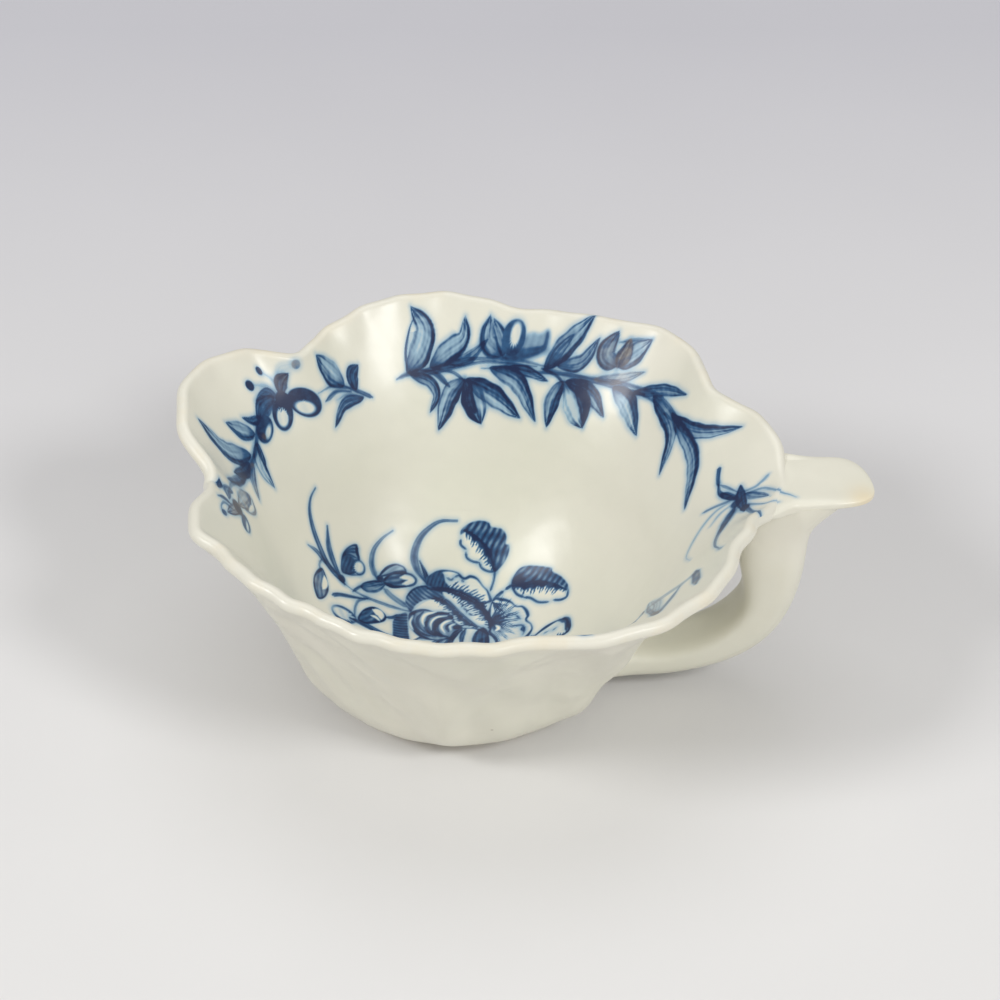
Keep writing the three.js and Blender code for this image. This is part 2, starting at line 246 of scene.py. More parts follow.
class LeafWall:
    """The cup's wall as a surface P(angle, t), with t = 0 at the foot's edge and 1 under the rim.

    The rim's outline is a soft maximum of parabolic lobes, log(sum(exp(b (reach - drop q^2)))) / b.
    Its harmonics fade toward the foot as exp(-(n softness)^2 / 2). A slope profile, 26 to 71 degrees
    over the belly and back to 42 at the rim, is summed into how far out and how high each t lies,
    and the point is blended between the foot's oval and the faded outline by it.
    """

    outline_points = 1440
    foot_slope, belly_slope, rim_slope = np.radians([26.0, 71.0, 42.0])
    rim_soft, floor_soft = np.radians([1.3, 30.0])
    lip_share = 0.82
    # How steeply the rim's dip for the thumb rest ends at both sides.
    dip_edge = 0.85
    # How far the rim stays below and inside the solid's rim, in millimetres.
    room_above, room_beside = 0.06, 0.045
    # The veins' arms part at this height; low side veins lie beside them, this many up the wall.
    fork_height = 9.0
    side_count, side_lean, side_reach, side_height = 4.6, 0.02, 5.5, 0.4
    lump_turns = (5, 7, 10, 13, 16, 20, 25)

    def __init__(self, boat):
        vars(self).update(vars(sizes(boat.cup)))
        thumb = sizes(boat.thumb)
        angle = np.linspace(0, 2 * np.pi, self.outline_points, endpoint=False)
        offset = wrapped(angle[None] - LOBE_ANGLE[:, None]) / LOBE_HALF[:, None]
        weight = np.exp(LOBE_BLEND * (LOBE_REACH[:, None] - LOBE_DROP[:, None] * offset**2 - 1))
        shown = np.where(LOBE_LIFT[:, None] > 0, 1 - np.minimum(offset**2, 1), 1)
        level = (weight * self.rim_height * (1 + LOBE_LIFT[:, None] * shown)).sum(0) / weight.sum(0)
        dip_reach = np.where(wrapped(angle) < 0, thumb.near_dip, thumb.far_width)
        beside = wrapped(angle) * self.half_length / dip_reach
        level = level - (thumb.dip + thumb.sink) * np.exp(-self.dip_edge * beside**4)
        self.reach_waves = self.waves(1 + np.log(weight.sum(0)) / LOBE_BLEND)
        self.level_waves = self.waves(level)
        run = (np.arange(PROFILE_STEPS) + 0.5) / PROFILE_STEPS * (self.belly_run + self.wall_run)
        climb = np.sin(np.minimum(run / self.belly_run, 1) * np.pi / 2)
        slope = self.foot_slope + (self.belly_slope - self.foot_slope) * climb
        slope += (self.rim_slope - self.belly_slope) * np.maximum(run - self.belly_run, 0) / self.wall_run
        self.out_way, self.up_way = (
            np.concatenate([[0], np.cumsum(part)]) / part.sum() for part in (np.cos(slope), np.sin(slope))
        )
        self.lip_radius = self.wall * self.lip_share / 2
        self.lip_sink = self.lip_radius * (1 + math.cos(self.rim_slope))
        self.lip_inset = self.lip_radius * (1 - math.sin(self.rim_slope))
        self.rise = self.rim_height - self.lip_sink - self.foot_edge

    @staticmethod
    def waves(values):
        wave = np.fft.rfft(values)[: HARMONICS + 1] / len(values)
        wave[1:] *= 2
        return wave

    def points(self, angle, t):
        """Rings of points, one row for each t and one column for each angle, in millimetres. Small
        waves, cos(36a + 1.4 sin 3a) + 0.7 cos(23a + 1), run round the rim."""
        place = np.linspace(0, 1, PROFILE_STEPS + 1)
        out = np.interp(t, place, self.out_way)[:, None]
        up = np.interp(t, place, self.up_way)[:, None]
        order = np.arange(HARMONICS + 1)
        fade = np.exp(-0.5 * (order[None] * (self.rim_soft + self.floor_soft * (1 - t))[:, None]) ** 2)
        turn = np.exp(1j * order[:, None] * angle[None])
        reach = ((fade * self.reach_waves) @ turn).real
        level = ((fade * self.level_waves) @ turn).real - self.lip_sink - self.room_above
        wave = np.cos(36 * angle + 1.4 * np.sin(3 * angle)) + 0.7 * np.cos(23 * angle + 1)
        wave = self.scallop * wave[None] * smooth(t, 0.85, 1)[:, None] - self.lip_inset - self.room_beside
        belly = self.belly_swell * np.sin(np.pi * t)[:, None]
        foot_x, foot_y = self.foot_half_length, self.foot_half_width
        x = foot_x + (reach * self.half_length + wave - foot_x) * out + belly
        y = foot_y + (reach * self.half_width + wave - foot_y) * out + belly
        z = self.foot_edge + self.rise * up + (level - self.foot_edge - self.rise) * t[:, None] ** 4
        return np.stack([x * np.cos(angle), y * np.sin(angle), z], -1)

    def directions(self, angle, t):
        """Unit vectors up along the wall and out of it, from small steps of angle and t."""
        step = 0.002
        around = self.points(angle + step, t) - self.points(angle - step, t)
        up = self.points(angle, np.minimum(t + step, 1)) - self.points(angle, np.maximum(t - step, 0))
        up /= np.linalg.norm(up, axis=-1, keepdims=True)
        out = np.cross(around, up)
        return up, out / np.linalg.norm(out, axis=-1, keepdims=True)

    def relief(self, angle, t):
        """Height of the moulding outside: soft veins, exp(-(distance / width)^2) from the nearest stem
        or arm with low side veins beside it, over broad hand-pressed lumps."""
        point = self.points(angle, t)
        reach = np.hypot(point[..., 0], point[..., 1])
        fork = self.fork_height / self.rise
        spread = np.maximum(t - fork, 0)[:, None] / (1 - fork)
        best = np.zeros_like(reach)
        for stem, left, right in VEINS:
            for turn in (-left, right):
                away = wrapped(angle[None] - stem - turn * spread) * reach
                climb = t[:, None] - self.side_lean * np.abs(away) - fork
                comb = 0.5 + 0.5 * np.cos(2 * np.pi * self.side_count * climb)
                side = comb**2 * bell(away, self.side_reach) * self.side_height
                best = np.maximum(best, np.maximum(bell(away, self.vein_width), side))
        lumps = np.zeros_like(reach)
        seed = np.random.default_rng(5)
        for turns in self.lump_turns:
            rise = seed.uniform(3, 11)
            wave = np.cos(turns * angle[None] + rise * t[:, None] + seed.uniform(0, 6))
            lumps += wave * np.cos(rise * 0.8 * t[:, None] + seed.uniform(0, 6)) / 3
        height = self.vein_height * best + self.lump_height * lumps
        return height * (smooth(t, 0.03, 0.25) * (1 - smooth(t, 0.84, 1.0)))[:, None]

    def lip(self, angle, count):
        """Half round from the outside over the top to the inside, without its two end rings."""
        up, out = self.directions(angle, np.ones(1))
        turn = np.linspace(0, np.pi, count + 2)[1:-1, None, None]
        centre = self.points(angle, np.ones(1)) - self.lip_radius * out
        return centre + self.lip_radius * (np.cos(turn) * out + np.sin(turn) * up)

    def inside(self, angle, wall_rings, bend_rings):
        """Rings from the rim down the inside: the wall moved in by its thickness, then the parabola
        (1-k)^2 A + 2k(1-k) C + k^2 F into the edge of the small flat floor."""
        places = np.linspace(0, 1, PROFILE_STEPS + 1)
        bend = np.interp((self.bend_height - self.foot_edge) / self.rise, self.up_way, places)
        t = np.linspace(1, bend, wall_rings)
        up, out = self.directions(angle, t)
        thin = 1 - (1 - self.lip_share) * smooth(t, 0.7, 1)
        wall = self.points(angle, t) - self.wall * thin[:, None, None] * out
        start = wall[-1]
        corner = start - up[-1] * ((start[:, 2:] - self.floor) / up[-1][:, 2:])
        level = np.full_like(angle, self.floor)
        end = np.stack([self.floor_flat * np.cos(angle), self.floor_flat * np.sin(angle), level], -1)
        k = np.linspace(0, 1, bend_rings + 1)[1:, None, None]
        return np.concatenate([wall, (1 - k) ** 2 * start + 2 * k * (1 - k) * corner + k * k * end])


def grid_quads(index):
    """Quads between the neighbours in a grid of point numbers."""
    return np.stack([index[:-1, :-1], index[:-1, 1:], index[1:, 1:], index[1:, :-1]], -1).reshape(-1, 4)


def lofted(rings):
    """One closed body through a row of closed rings, with a fan over the first and last ring. Its
    faces look out when the rings climb the outside."""
    rows, columns = rings.shape[:2]
    points = np.concatenate([rings.reshape(-1, 3), [rings[0].mean(0), rings[-1].mean(0)]])
    index = np.arange(rows * columns).reshape(rows, columns)
    around = np.column_stack([index, index[:, 0]])
    first, last = around[0], around[-1]
    below = np.stack([np.full(columns, index.size), first[1:], first[:-1]], -1)
    above = np.stack([np.full(columns, index.size + 1), last[:-1], last[1:]], -1)
    return points, grid_quads(around).tolist() + below.tolist() + above.tolist()


def normals(grid):
    """Unit vectors that stand off a grid of points."""
    normal = np.cross(np.gradient(grid, axis=1), np.gradient(grid, axis=0))
    return normal / np.linalg.norm(normal, axis=-1, keepdims=True)


def slab(top, depth):
    """A closed sheet: a fine upper grid, a lower grid moved in by depth with every STEP-th point, and
    a fan of faces from each coarse edge to the fine edges over it."""
    low = (top - normals(top) * depth)[::STEP, ::STEP]
    index = np.arange(top.size // 3).reshape(top.shape[:2])
    under = index.size + np.arange(low.size // 3).reshape(low.shape[:2])
    triangles = []
    for side in (np.s_[0, ::-1], np.s_[:, 0], np.s_[-1], np.s_[::-1, -1]):
        fine, coarse = index[side], under[side]
        nearest = coarse[(np.arange(len(fine) - 1) + STEP // 2) // STEP]
        triangles.append(np.stack([fine[:-1], fine[1:], nearest], -1))
        middle = fine[STEP // 2 :: STEP][: len(coarse) - 1]
        triangles.append(np.stack([coarse[:-1], middle, coarse[1:]], -1))
    points = np.concatenate([top.reshape(-1, 3), low.reshape(-1, 3)])
    lower = grid_quads(under)[:, [0, 3, 2, 1]]
    return points, grid_quads(index).tolist() + lower.tolist() + np.concatenate(triangles).tolist()


def piece(name, points, faces, material, slot, replaced=None):
    """A shaded mesh object at the origin, riding on the part's only body."""
    old = bpy.data.objects.get(name)
    if old is not None:
        bpy.data.objects.remove(old)
    mesh = bpy.data.meshes.new(name)
    mesh.from_pydata((points * MM).tolist(), [], faces)
    mesh.update()
    if mesh.validate():
        raise RuntimeError(f"{name} has faces that Blender can't use")
    mesh.shade_smooth()
    mesh.set_sharp_from_angle(angle=SHARP_EDGE)
    mesh.materials.append(material)
    made = bpy.data.objects.new(name, mesh)
    bpy.context.scene.collection.objects.link(made)
    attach(made, "root")
    if replaced is not None:
        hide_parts(replaced)
    return made


def mark(made, name, values):
    """Keeps a number for each point of the mesh, for the material to read."""
    attribute = made.data.attributes.new(name, "FLOAT", "POINT")
    full = np.zeros(len(made.data.vertices), np.float32)
    full[: values.size] = values.ravel()
    attribute.data.foreach_set("value", full)


def within(away, soft):
    """1 inside a border and 0 outside, by distance past it, softened over a width."""
    return 1 - smooth(away, -soft / 2, soft / 2)


def turned(x, y, degrees):
    """Coordinates along and across a compass direction."""
    c, d = math.cos(math.radians(degrees)), math.sin(math.radians(degrees))
    return x * c + y * d, y * c - x * d


class Brush:
    """Blue laid on the inside of the cup, in a flat chart of it.

    A point's chart place is its compass direction and its distance from the floor's middle along
    the surface, in millimetres, so u and v are as true to size as on paper near the floor. Each kind
    of touch is a method that takes its place or places first, as pairs of u and v.
    """

    def __init__(self, u, v):
        self.u, self.v = u.ravel(), v.ravel()
        self.blue = np.zeros_like(self.u)
        self.umber = np.zeros_like(self.u)
        self.seed = np.random.default_rng(11)

    def mirrored(self, degrees, scale):
        """The same ground, drawn on after a mirror, a turn and a change of size, with other phases."""
        along, across = turned(self.u, self.v, degrees)
        other = Brush(along / scale, -across / scale)
        other.blue, other.umber, other.seed = self.blue, self.umber, np.random.default_rng(23)
        return other

    @staticmethod
    def line(places, closed=False):
        """A line through the places, cubic between them, with tangents half the neighbours' step."""
        p = np.asarray(places, float)
        if closed:
            p = np.concatenate([p[-1:], p, p[:2]])
        else:
            p = np.concatenate([[2 * p[0] - p[1]], p, [2 * p[-1] - p[-2]]])
        s = np.linspace(0, 1, 9)[None, :-1, None]
        a, b, c, d = p[:-3, None], p[1:-2, None], p[2:-1, None], p[3:, None]
        square, cube = 2 * a - 5 * b + 4 * c - d, 3 * b - a - 3 * c + d
        curve = 0.5 * (2 * b + (c - a) * s + square * s**2 + cube * s**3)
        return np.concatenate([curve.reshape(-1, 2), p[-2:-1]])

    def near(self, places, room, closed=False):
        """Where the ground is near the line: which points, share along it, distance, side, its length."""
        line = self.line(places, closed)
        low, high = line.min(0) - room, line.max(0) + room
        boxed = (self.u > low[0]) & (self.u < high[0]) & (self.v > low[1]) & (self.v < high[1])
        found = np.nonzero(boxed)[0]
        place = np.stack([self.u[found], self.v[found]], -1)
        step = np.diff(line, axis=0)
        size = np.hypot(step[:, 0], step[:, 1]) + 1e-9
        way = np.concatenate([[0], np.cumsum(size)])
        gap = place[:, None] - line[None, :-1]
        part = np.clip((gap * step).sum(-1) / size**2, 0, 1)
        off = gap - part[..., None] * step
        distance = np.hypot(off[..., 0], off[..., 1])
        best = distance.argmin(1)
        pick = np.arange(len(found))
        cross = step[best, 0] * gap[pick, best, 1] - step[best, 1] * gap[pick, best, 0]
        along = (way[best] + part[pick, best] * size[best]) / way[-1]
        return found, along, distance[pick, best], np.where(cross < 0, -1.0, 1.0), way[-1]

    def lay(self, found, amount):
        self.blue[found] = 1 - (1 - self.blue[found]) * (1 - np.clip(amount, 0, 1))

    def cover(self, found, amount, body):
        """Blue of this amount in place of what was there, where body is 1."""
        self.blue[found] = self.blue[found] * (1 - body) + np.clip(amount, 0, 1) * body

    def burn(self, found, amount):
        self.umber[found] = np.maximum(self.umber[found], amount)

    def phase(self):
        return self.seed.uniform(0, 2 * np.pi)

    def stroke(self, places, width, dark=0.8, start=0.25, end=0.6, soft=0.26, umber=0.0):
        """A single touch: it swells over start, thins over end and leaves a pale rim of blue."""
        found, s, away, sign, _ = self.near(places, width + 1.2)
        swell = 0.4 + 0.6 * smooth(s, 0, start)
        half = width / 2 * swell * (1 - 0.72 * smooth(s, 1 - end, 1.05))
        q = away / np.maximum(half, 0.08)
        hair = 0.9 + 0.1 * np.sin(4.5 * q * sign + self.phase() + 5 * s) + 0.08 * smooth(q, 0.5, 0.95)
        body = within(away - half, soft)
        self.lay(found, np.maximum(body * dark * hair, 0.15 * bell(np.maximum(away - half, 0), 0.4)))
        self.burn(found, umber * body)

    def leaf(self, places, width, side=1, dark=0.9, pale=0.34, soft=0.34, umber=0.0, load=0.0, belly=0.85):
        """A leaf of a few strokes: half width sin(pi s^belly)^0.8, streaks of the brush along it, dark
        at one side, at the ends and in a thin line at the other side, lightest beside the middle. A
        loaded leaf is dark farther across."""
        found, s, away, sign, long = self.near(places, width / 2 + 1.4)
        half = width / 2 * np.sin(np.pi * np.clip(s, 0, 1) ** belly) ** 0.8 + 0.08
        half *= 1 + 0.05 * np.sin(s * long * 2.1 + self.phase())
        q = away / half * sign * side
        streak = np.sin(q * 8 + self.phase() + 2.5 * s) + 0.6 * np.sin(q * 17 + self.phase() - 4 * s)
        streak += 0.5 * np.sin(q * 5 + s * long * 4.3 + self.phase()) * np.sin(s * long * 1.7 + self.phase())
        heavy = smooth(q + 0.12 * streak, -load, 0.9 - load)
        light = 0.38 * smooth(-q + 0.08 * streak, 0.45, 1.0)
        tip, root = smooth(s + 0.06 * streak, 0.68, 1.0), 1 - smooth(s + 0.05 * streak, 0.02, 0.32)
        tone = 1 - (1 - heavy) * (1 - light) * (1 - np.maximum(0.85 * tip, 0.75 * root))
        amount = pale + (dark - pale) * tone + 0.08 * streak * (1 - 0.5 * tone)
        body = within(away - half, soft)
        self.lay(found, np.maximum(body * amount, 0.19 * bell(np.maximum(away - half, 0), 0.5)))
        self.burn(found, umber * body)

    def area(
        self, places, dark=0.8, turn=0.0, spacing=0.5, depth=0.35, outline=0.0, line_dark=0.85, soft=0.24
    ):
        """A closed patch filled with hatching: cos of the place across the hatch's direction; then its
        outline, whose thickness wavers."""
        found, s, away, _, long = self.near(places, 1.2, closed=True)
        line = self.line(places, closed=True)
        x, y = self.u[found, None], self.v[found, None]
        (x0, y0), (x1, y1) = line[:-1].T, line[1:].T
        rise = np.where(y1 == y0, 1e-9, y1 - y0)
        hits = ((y0 > y) != (y1 > y)) & (x < (x1 - x0) * (y - y0) / rise + x0)
        away = np.where(hits.sum(1) % 2 == 1, -away, away)
        body = within(away, soft)
        down, across = turned(x[:, 0], y[:, 0], turn)
        hatch = np.cos(2 * np.pi * across / spacing + 0.8 * np.sin(down * 1.7 + self.phase()))
        amount = dark * (1 - depth * (0.5 + 0.5 * hatch) * (0.75 + 0.25 * np.sin(down * 3.1 + across)))
        self.cover(found, amount, body)
        if outline:
            half = outline / 2 * (0.8 + 0.35 * np.sin(s * long * 1.3 + self.phase()))
            self.lay(found, within(np.abs(away + half) - half, 0.24) * line_dark)
        self.lay(found, 0.14 * bell(np.maximum(away, 0), 0.4) * (1 - body))

    def fringe(self, places, length, side=1, dark=0.85, spacing=0.45, slant=0.6, solid=0.45, taper=0.25):
        """Hatching that hangs from a line on one side of it, solid at the line and ragged at its far ends."""
        found, s, away, sign, long = self.near(places, length + 0.4)
        place = 2 * np.pi * (s * long + slant * away) / spacing
        comb = smooth(0.5 + 0.5 * np.cos(place), 0.15, 0.8)
        ends = smooth(s, 0, taper) * smooth(1 - s, 0, taper)
        reach = length * (0.3 + 0.7 * ends) * (0.82 + 0.18 * np.sin(place * 0.37 + self.phase()))
        full = 1 - smooth(away, reach * solid * 0.7, reach * (solid + 0.15))
        thin = comb * (1 - smooth(away, reach * 0.75, reach))
        inside = (sign == side) * (s > 0.002) * (s < 0.998)
        self.lay(found, dark * np.maximum(full, 0.85 * thin) * inside)

    def dot(self, centre, radius, dark=0.9, squash=1.0, soft=0.3, umber=0.0):
        away = np.hypot(self.u - centre[0], (self.v - centre[1]) / squash) - radius
        body = within(away, soft)
        self.lay(slice(None), np.maximum(body * dark, 0.16 * bell(np.maximum(away, 0), 0.45)))
        self.burn(slice(None), umber * body)

    def scorch(self, centre, radius, umber):
        """A place that has burnt, fading away from its middle."""
        self.burn(slice(None), umber * bell(np.hypot(self.u - centre[0], self.v - centre[1]), radius))

    def loop(self, centre, radii, turn, width, dark=0.88, fill=0.0, heavy=90.0, weight=1.0):
        """A petal seen as a ring round a bare oval, which is moved away from one compass direction so
        that the ring grows thick there; its inner side ends in a faint hatching."""
        x, y = self.u - centre[0], self.v - centre[1]
        way = np.arctan2(y, x) - math.radians(heavy)
        x, y = turned(x, y, turn)
        x, y = x / radii[0], y / radii[1]
        e = np.hypot(x, y) * (1 + 0.06 * np.cos(np.arctan2(y, x) * 2 + self.phase()))
        away = (e - 1) * min(radii)
        body = 1 - smooth(away, -0.12, 0.15)
        shift = weight * width
        rooms = [radius - width - shift for radius in radii]
        along, beside = math.radians(heavy - turn), min(rooms)
        inner = np.hypot(
            x * radii[0] / rooms[0] + shift * math.cos(along) / rooms[0],
            y * radii[1] / rooms[1] + shift * math.sin(along) / rooms[1],
        )
        hatch = min(0.3, 0.16 * beside) * np.maximum(np.cos(way), 0) * np.cos(way * 17 + self.phase())
        ring = smooth((inner - 1) * beside + hatch, -0.28, 0.22)
        wash = fill * (0.7 + 0.3 * np.sin(9 * x + 3 * y + self.phase()))
        self.cover(slice(None), np.maximum(ring * dark, wash), body)
        self.lay(slice(None), 0.15 * bell(np.maximum(away, 0), 0.4) * (1 - body))

    def petal(self, base, tip, width, dark=0.85, reach=0.6, lines=15):
        """An open petal from its base to its tip over what is there: an ellipse with a waved edge line,
        hatched by lines that fan out of its base and stop short of its edge."""
        base, tip = np.asarray(base, float), np.asarray(tip, float)
        step = tip - base
        long = math.hypot(*step)
        x = ((self.u - base[0]) * step[0] + (self.v - base[1]) * step[1]) / long
        y = ((self.v - base[1]) * step[0] - (self.u - base[0]) * step[1]) / long
        found = np.nonzero((x > -1.5) & (x < long + 1.5) & (np.abs(y) < width / 2 + 1.5))[0]
        x, y = x[found], y[found]
        a, b = long / 2, width / 2
        turn = np.arctan2(y / b, (x - a) / a)
        e = np.hypot((x - a) / a, y / b) * (1 + 0.035 * np.cos(8 * turn + self.phase()))
        away = (e - 1) * min(a, b)
        edge = 1 - smooth(np.abs(away + 0.15) - 0.15, -0.1, 0.12)
        fan = np.arctan2(y, x + 0.35 * long)
        uneven = 0.3 * np.sin(fan * lines * 0.9 + self.phase()) + 0.12 * np.sin(fan * lines * 2.3)
        ragged = reach * (0.82 + uneven)
        line = 0.55 + 0.45 * smooth(np.cos(fan * lines * 2), -0.7, 0.5)
        hatch = line * (1 - smooth(x / long, ragged - 0.18, ragged + 0.06))
        self.cover(found, np.maximum(edge, hatch) * dark, within(away, 0.24))

    def fan(self, centre, first, last, inner, outer, lines=26, dark=0.85, solid=0.6):
        """Hairs spreading from a point between two compass directions, solid near it and ragged outside."""
        x, y = self.u - centre[0], self.v - centre[1]
        found = np.nonzero(np.hypot(x, y) < outer * 1.3)[0]
        far = np.hypot(x, y)[found]
        turn = wrapped(np.arctan2(y[found], x[found]) - math.radians((first + last) / 2))
        half = math.radians((last - first) / 2)
        inside = (1 - smooth(np.abs(turn), half - 0.12, half + 0.04)) * smooth(far, inner - 0.15, inner + 0.1)
        reach = outer * (0.86 + 0.16 * np.sin(turn * lines * 0.53 + self.phase()))
        comb = smooth(0.5 + 0.5 * np.cos(turn * lines * 2), 0.1, 0.75)
        full = 1 - smooth(far, reach * solid * 0.8, reach * (solid + 0.12))
        thin = comb * (1 - smooth(far, reach * 0.8, reach))
        self.lay(found, dark * np.maximum(full, 0.9 * thin) * inside)

    def bare(self, places, width):
        """A streak of bare glaze left between strokes."""
        found, s, away, _, _ = self.near(places, width)
        half = width / 2 * np.sin(np.pi * np.clip(s, 0.02, 0.98)) ** 0.6
        self.blue[found] *= smooth(away - half, -0.14, 0.16)


# The drawings: their places are u and v in millimetres on the chart of the inside.


def far_garland(brush):
    """The long garland on the far wall, from its cut end at the left to its hanging tip by the handle."""
    brush.stroke(
        [(-10.9, 38.0), (-9.2, 38.8), (-6.5, 39.5), (-3.0, 40.3), (1.5, 40.7)],
        0.6, dark=0.72, start=0.1, end=0.3
    )
    brush.stroke(
        [(-7.6, 38.9), (-4.0, 39.5), (0.0, 40.4), (5.0, 41.0), (10.0, 40.3), (14.2, 39.3)],
        0.42, dark=0.6, end=0.2
    )
    brush.stroke(
        [(-3.0, 40.7), (2.0, 41.5), (6.5, 41.3), (11.0, 40.7), (16.0, 38.9)], 0.5, dark=0.58, end=0.2
    )
    brush.stroke(
        [(4.5, 40.2), (9.5, 39.8), (14.0, 38.6), (19.0, 37.2), (24.0, 35.1), (28.5, 32.6)],
        0.46, dark=0.62, end=0.2
    )
    brush.stroke(
        [(15.0, 38.9), (20.0, 36.7), (25.0, 34.2), (28.5, 31.9), (32.5, 29.3)],
        0.7, dark=0.62, start=0.1, end=0.1
    )
    brush.stroke(
        [(26.0, 34.4), (30.0, 31.9), (34.5, 28.4), (37.0, 25.0), (38.8, 21.6)],
        0.55, dark=0.66, start=0.1, end=0.2
    )
    brush.stroke([(31.5, 30.0), (34.3, 27.2), (36.2, 24.2), (37.6, 22.0)], 0.5, dark=0.6, end=0.2)
    brush.leaf([(-9.0, 39.1), (-6.6, 42.2), (-5.9, 45.2), (-8.2, 47.9)], 3.9, side=-1, pale=0.34)
    brush.stroke([(-9.0, 39.4), (-9.3, 42.0), (-8.6, 44.8), (-7.6, 46.6)], 0.5, dark=0.85, start=0.2)
    brush.leaf([(-4.8, 40.2), (-1.6, 42.4), (1.4, 44.2), (1.9, 47.0)], 3.1, side=-1, pale=0.4, soft=0.45)
    brush.leaf([(-1.4, 40.9), (2.4, 41.7), (5.8, 43.9)], 1.5, side=-1, dark=0.8, pale=0.6, soft=0.4)
    brush.leaf([(8.1, 41.5), (5.7, 43.7), (6.3, 47.0)], 2.9, side=1, dark=0.86, pale=0.46, soft=0.55)
    brush.leaf([(8.3, 41.4), (8.2, 43.8), (7.0, 46.5)], 2.1, side=-1, dark=0.86, pale=0.5, soft=0.55)
    brush.area(
        [(9.6, 41.0), (12.0, 40.6), (15.8, 40.7), (16.6, 41.7), (16.8, 43.5), (15.0, 43.5), (13.2, 43.9),
        (11.4, 43.2)], dark=0.48, turn=75, spacing=1.3, depth=0.18, soft=0.9
    )
    brush.loop((10.3, 43.7), (1.8, 2.6), -16, 0.5, dark=0.76, fill=0.1, heavy=-125, weight=1.0)
    brush.stroke(
        [(8.4, 41.3), (12.2, 41.3), (15.4, 41.5), (16.2, 42.5), (16.5, 43.3)],
        1.7, dark=0.7, start=0.1, end=0.75, soft=0.9
    )
    brush.leaf([(15.4, 38.8), (19.4, 40.9), (24.6, 43.9)], 3.2, side=-1, pale=0.42, soft=0.42)
    brush.leaf([(16.0, 38.9), (18.4, 40.6), (20.8, 42.2)], 1.6, side=1, dark=0.7, pale=0.4, soft=0.4)
    brush.leaf([(17.6, 38.8), (21.8, 38.1), (25.3, 40.4)], 2.1, side=-1, dark=0.84, pale=0.6, soft=0.4)
    brush.leaf(
        [(27.7, 35.6), (26.0, 37.9), (28.5, 40.3)], 3.1, side=1, dark=0.92, pale=0.62, soft=0.42, umber=0.3
    )
    brush.leaf(
        [(28.0, 35.4), (30.9, 36.2), (34.0, 37.0)], 3.4, side=-1, dark=0.84, pale=0.36, soft=0.42, umber=0.2
    )
    brush.stroke([(28.4, 38.8), (31.2, 38.2), (34.0, 37.1)], 0.6, dark=0.6, soft=0.4)
    brush.leaf(
        [(27.7, 35.4), (29.2, 36.9), (30.2, 38.7)], 2.6, side=1, dark=0.88, pale=0.7, soft=0.45, umber=0.95
    )
    brush.leaf(
        [(23.8, 35.1), (28.4, 33.6), (32.6, 32.7)], 1.5, side=-1, dark=0.7, pale=0.5, umber=0.45, soft=0.4
    )
    brush.leaf([(30.6, 30.6), (36.0, 28.0), (40.5, 24.5)], 1.8, side=1, pale=0.6)
    brush.leaf([(37.6, 22.9), (41.4, 18.0), (47.9, 14.2)], 2.1, side=1, pale=0.46, load=0.35)
    brush.leaf([(37.6, 23.4), (39.9, 14.6), (37.3, 6.3)], 2.2, side=1, pale=0.46, load=0.35)
    brush.leaf([(34.2, 28.2), (37.0, 20.8), (33.9, 15.7)], 2.1, side=-1, pale=0.46, load=0.35)
    brush.leaf([(26.9, 32.9), (29.4, 29.4), (30.7, 23.9)], 3.0, side=1, pale=0.3, load=0.35)
    brush.leaf([(-8.4, 38.9), (-4.9, 38.4), (-3.5, 36.7), (-4.6, 34.4)], 1.6, side=1, pale=0.55, load=0.35)
    brush.stroke([(-6.4, 39.7), (-3.8, 39.5), (-1.2, 37.9)], 0.95, dark=0.8, start=0.7, end=0.3)
    brush.stroke([(-4.2, 40.0), (-0.8, 39.8), (1.5, 38.7)], 0.5, dark=0.72, end=0.2)
    brush.leaf([(1.4, 38.9), (-1.2, 36.6), (-3.1, 32.2)], 2.9, side=1, dark=0.93, pale=0.36, load=0.35)
    brush.leaf([(1.8, 38.9), (6.8, 36.3), (10.7, 33.1)], 2.9, side=1, dark=0.93, pale=0.36, load=0.35)
    brush.leaf(
        [(1.5, 38.9), (2.9, 36.2), (4.1, 33.0)], 4.1, side=-1, dark=0.96, pale=0.34, belly=1.0, load=0.35
    )
    brush.leaf([(2.6, 38.2), (2.2, 36.6), (3.2, 34.4)], 1.5, side=1, dark=0.95, pale=0.75)
    brush.leaf([(6.0, 40.2), (10.8, 37.7), (13.2, 32.2)], 2.6, side=1, pale=0.42, load=0.35)
    brush.leaf([(9.2, 40.0), (12.6, 38.9), (15.9, 37.0)], 1.3, side=1, pale=0.65)
    brush.stroke([(15.2, 38.7), (17.2, 37.6), (18.5, 36.2)], 0.5, dark=0.8, end=0.2)
    brush.leaf([(18.5, 36.4), (16.4, 34.3), (15.0, 31.1)], 2.5, side=1, dark=0.93, pale=0.5, load=0.35)
    brush.leaf([(19.0, 36.3), (22.9, 33.4), (25.0, 29.3)], 2.4, side=1, dark=0.93, pale=0.45, load=0.35)
    brush.leaf([(18.7, 36.3), (20.3, 32.8), (21.1, 29.2)], 4.2, side=1, dark=0.97, pale=0.12, belly=1.15)
    brush.leaf([(20.6, 35.0), (21.9, 32.4), (21.4, 29.6)], 2.0, side=1, dark=0.97, pale=0.85)


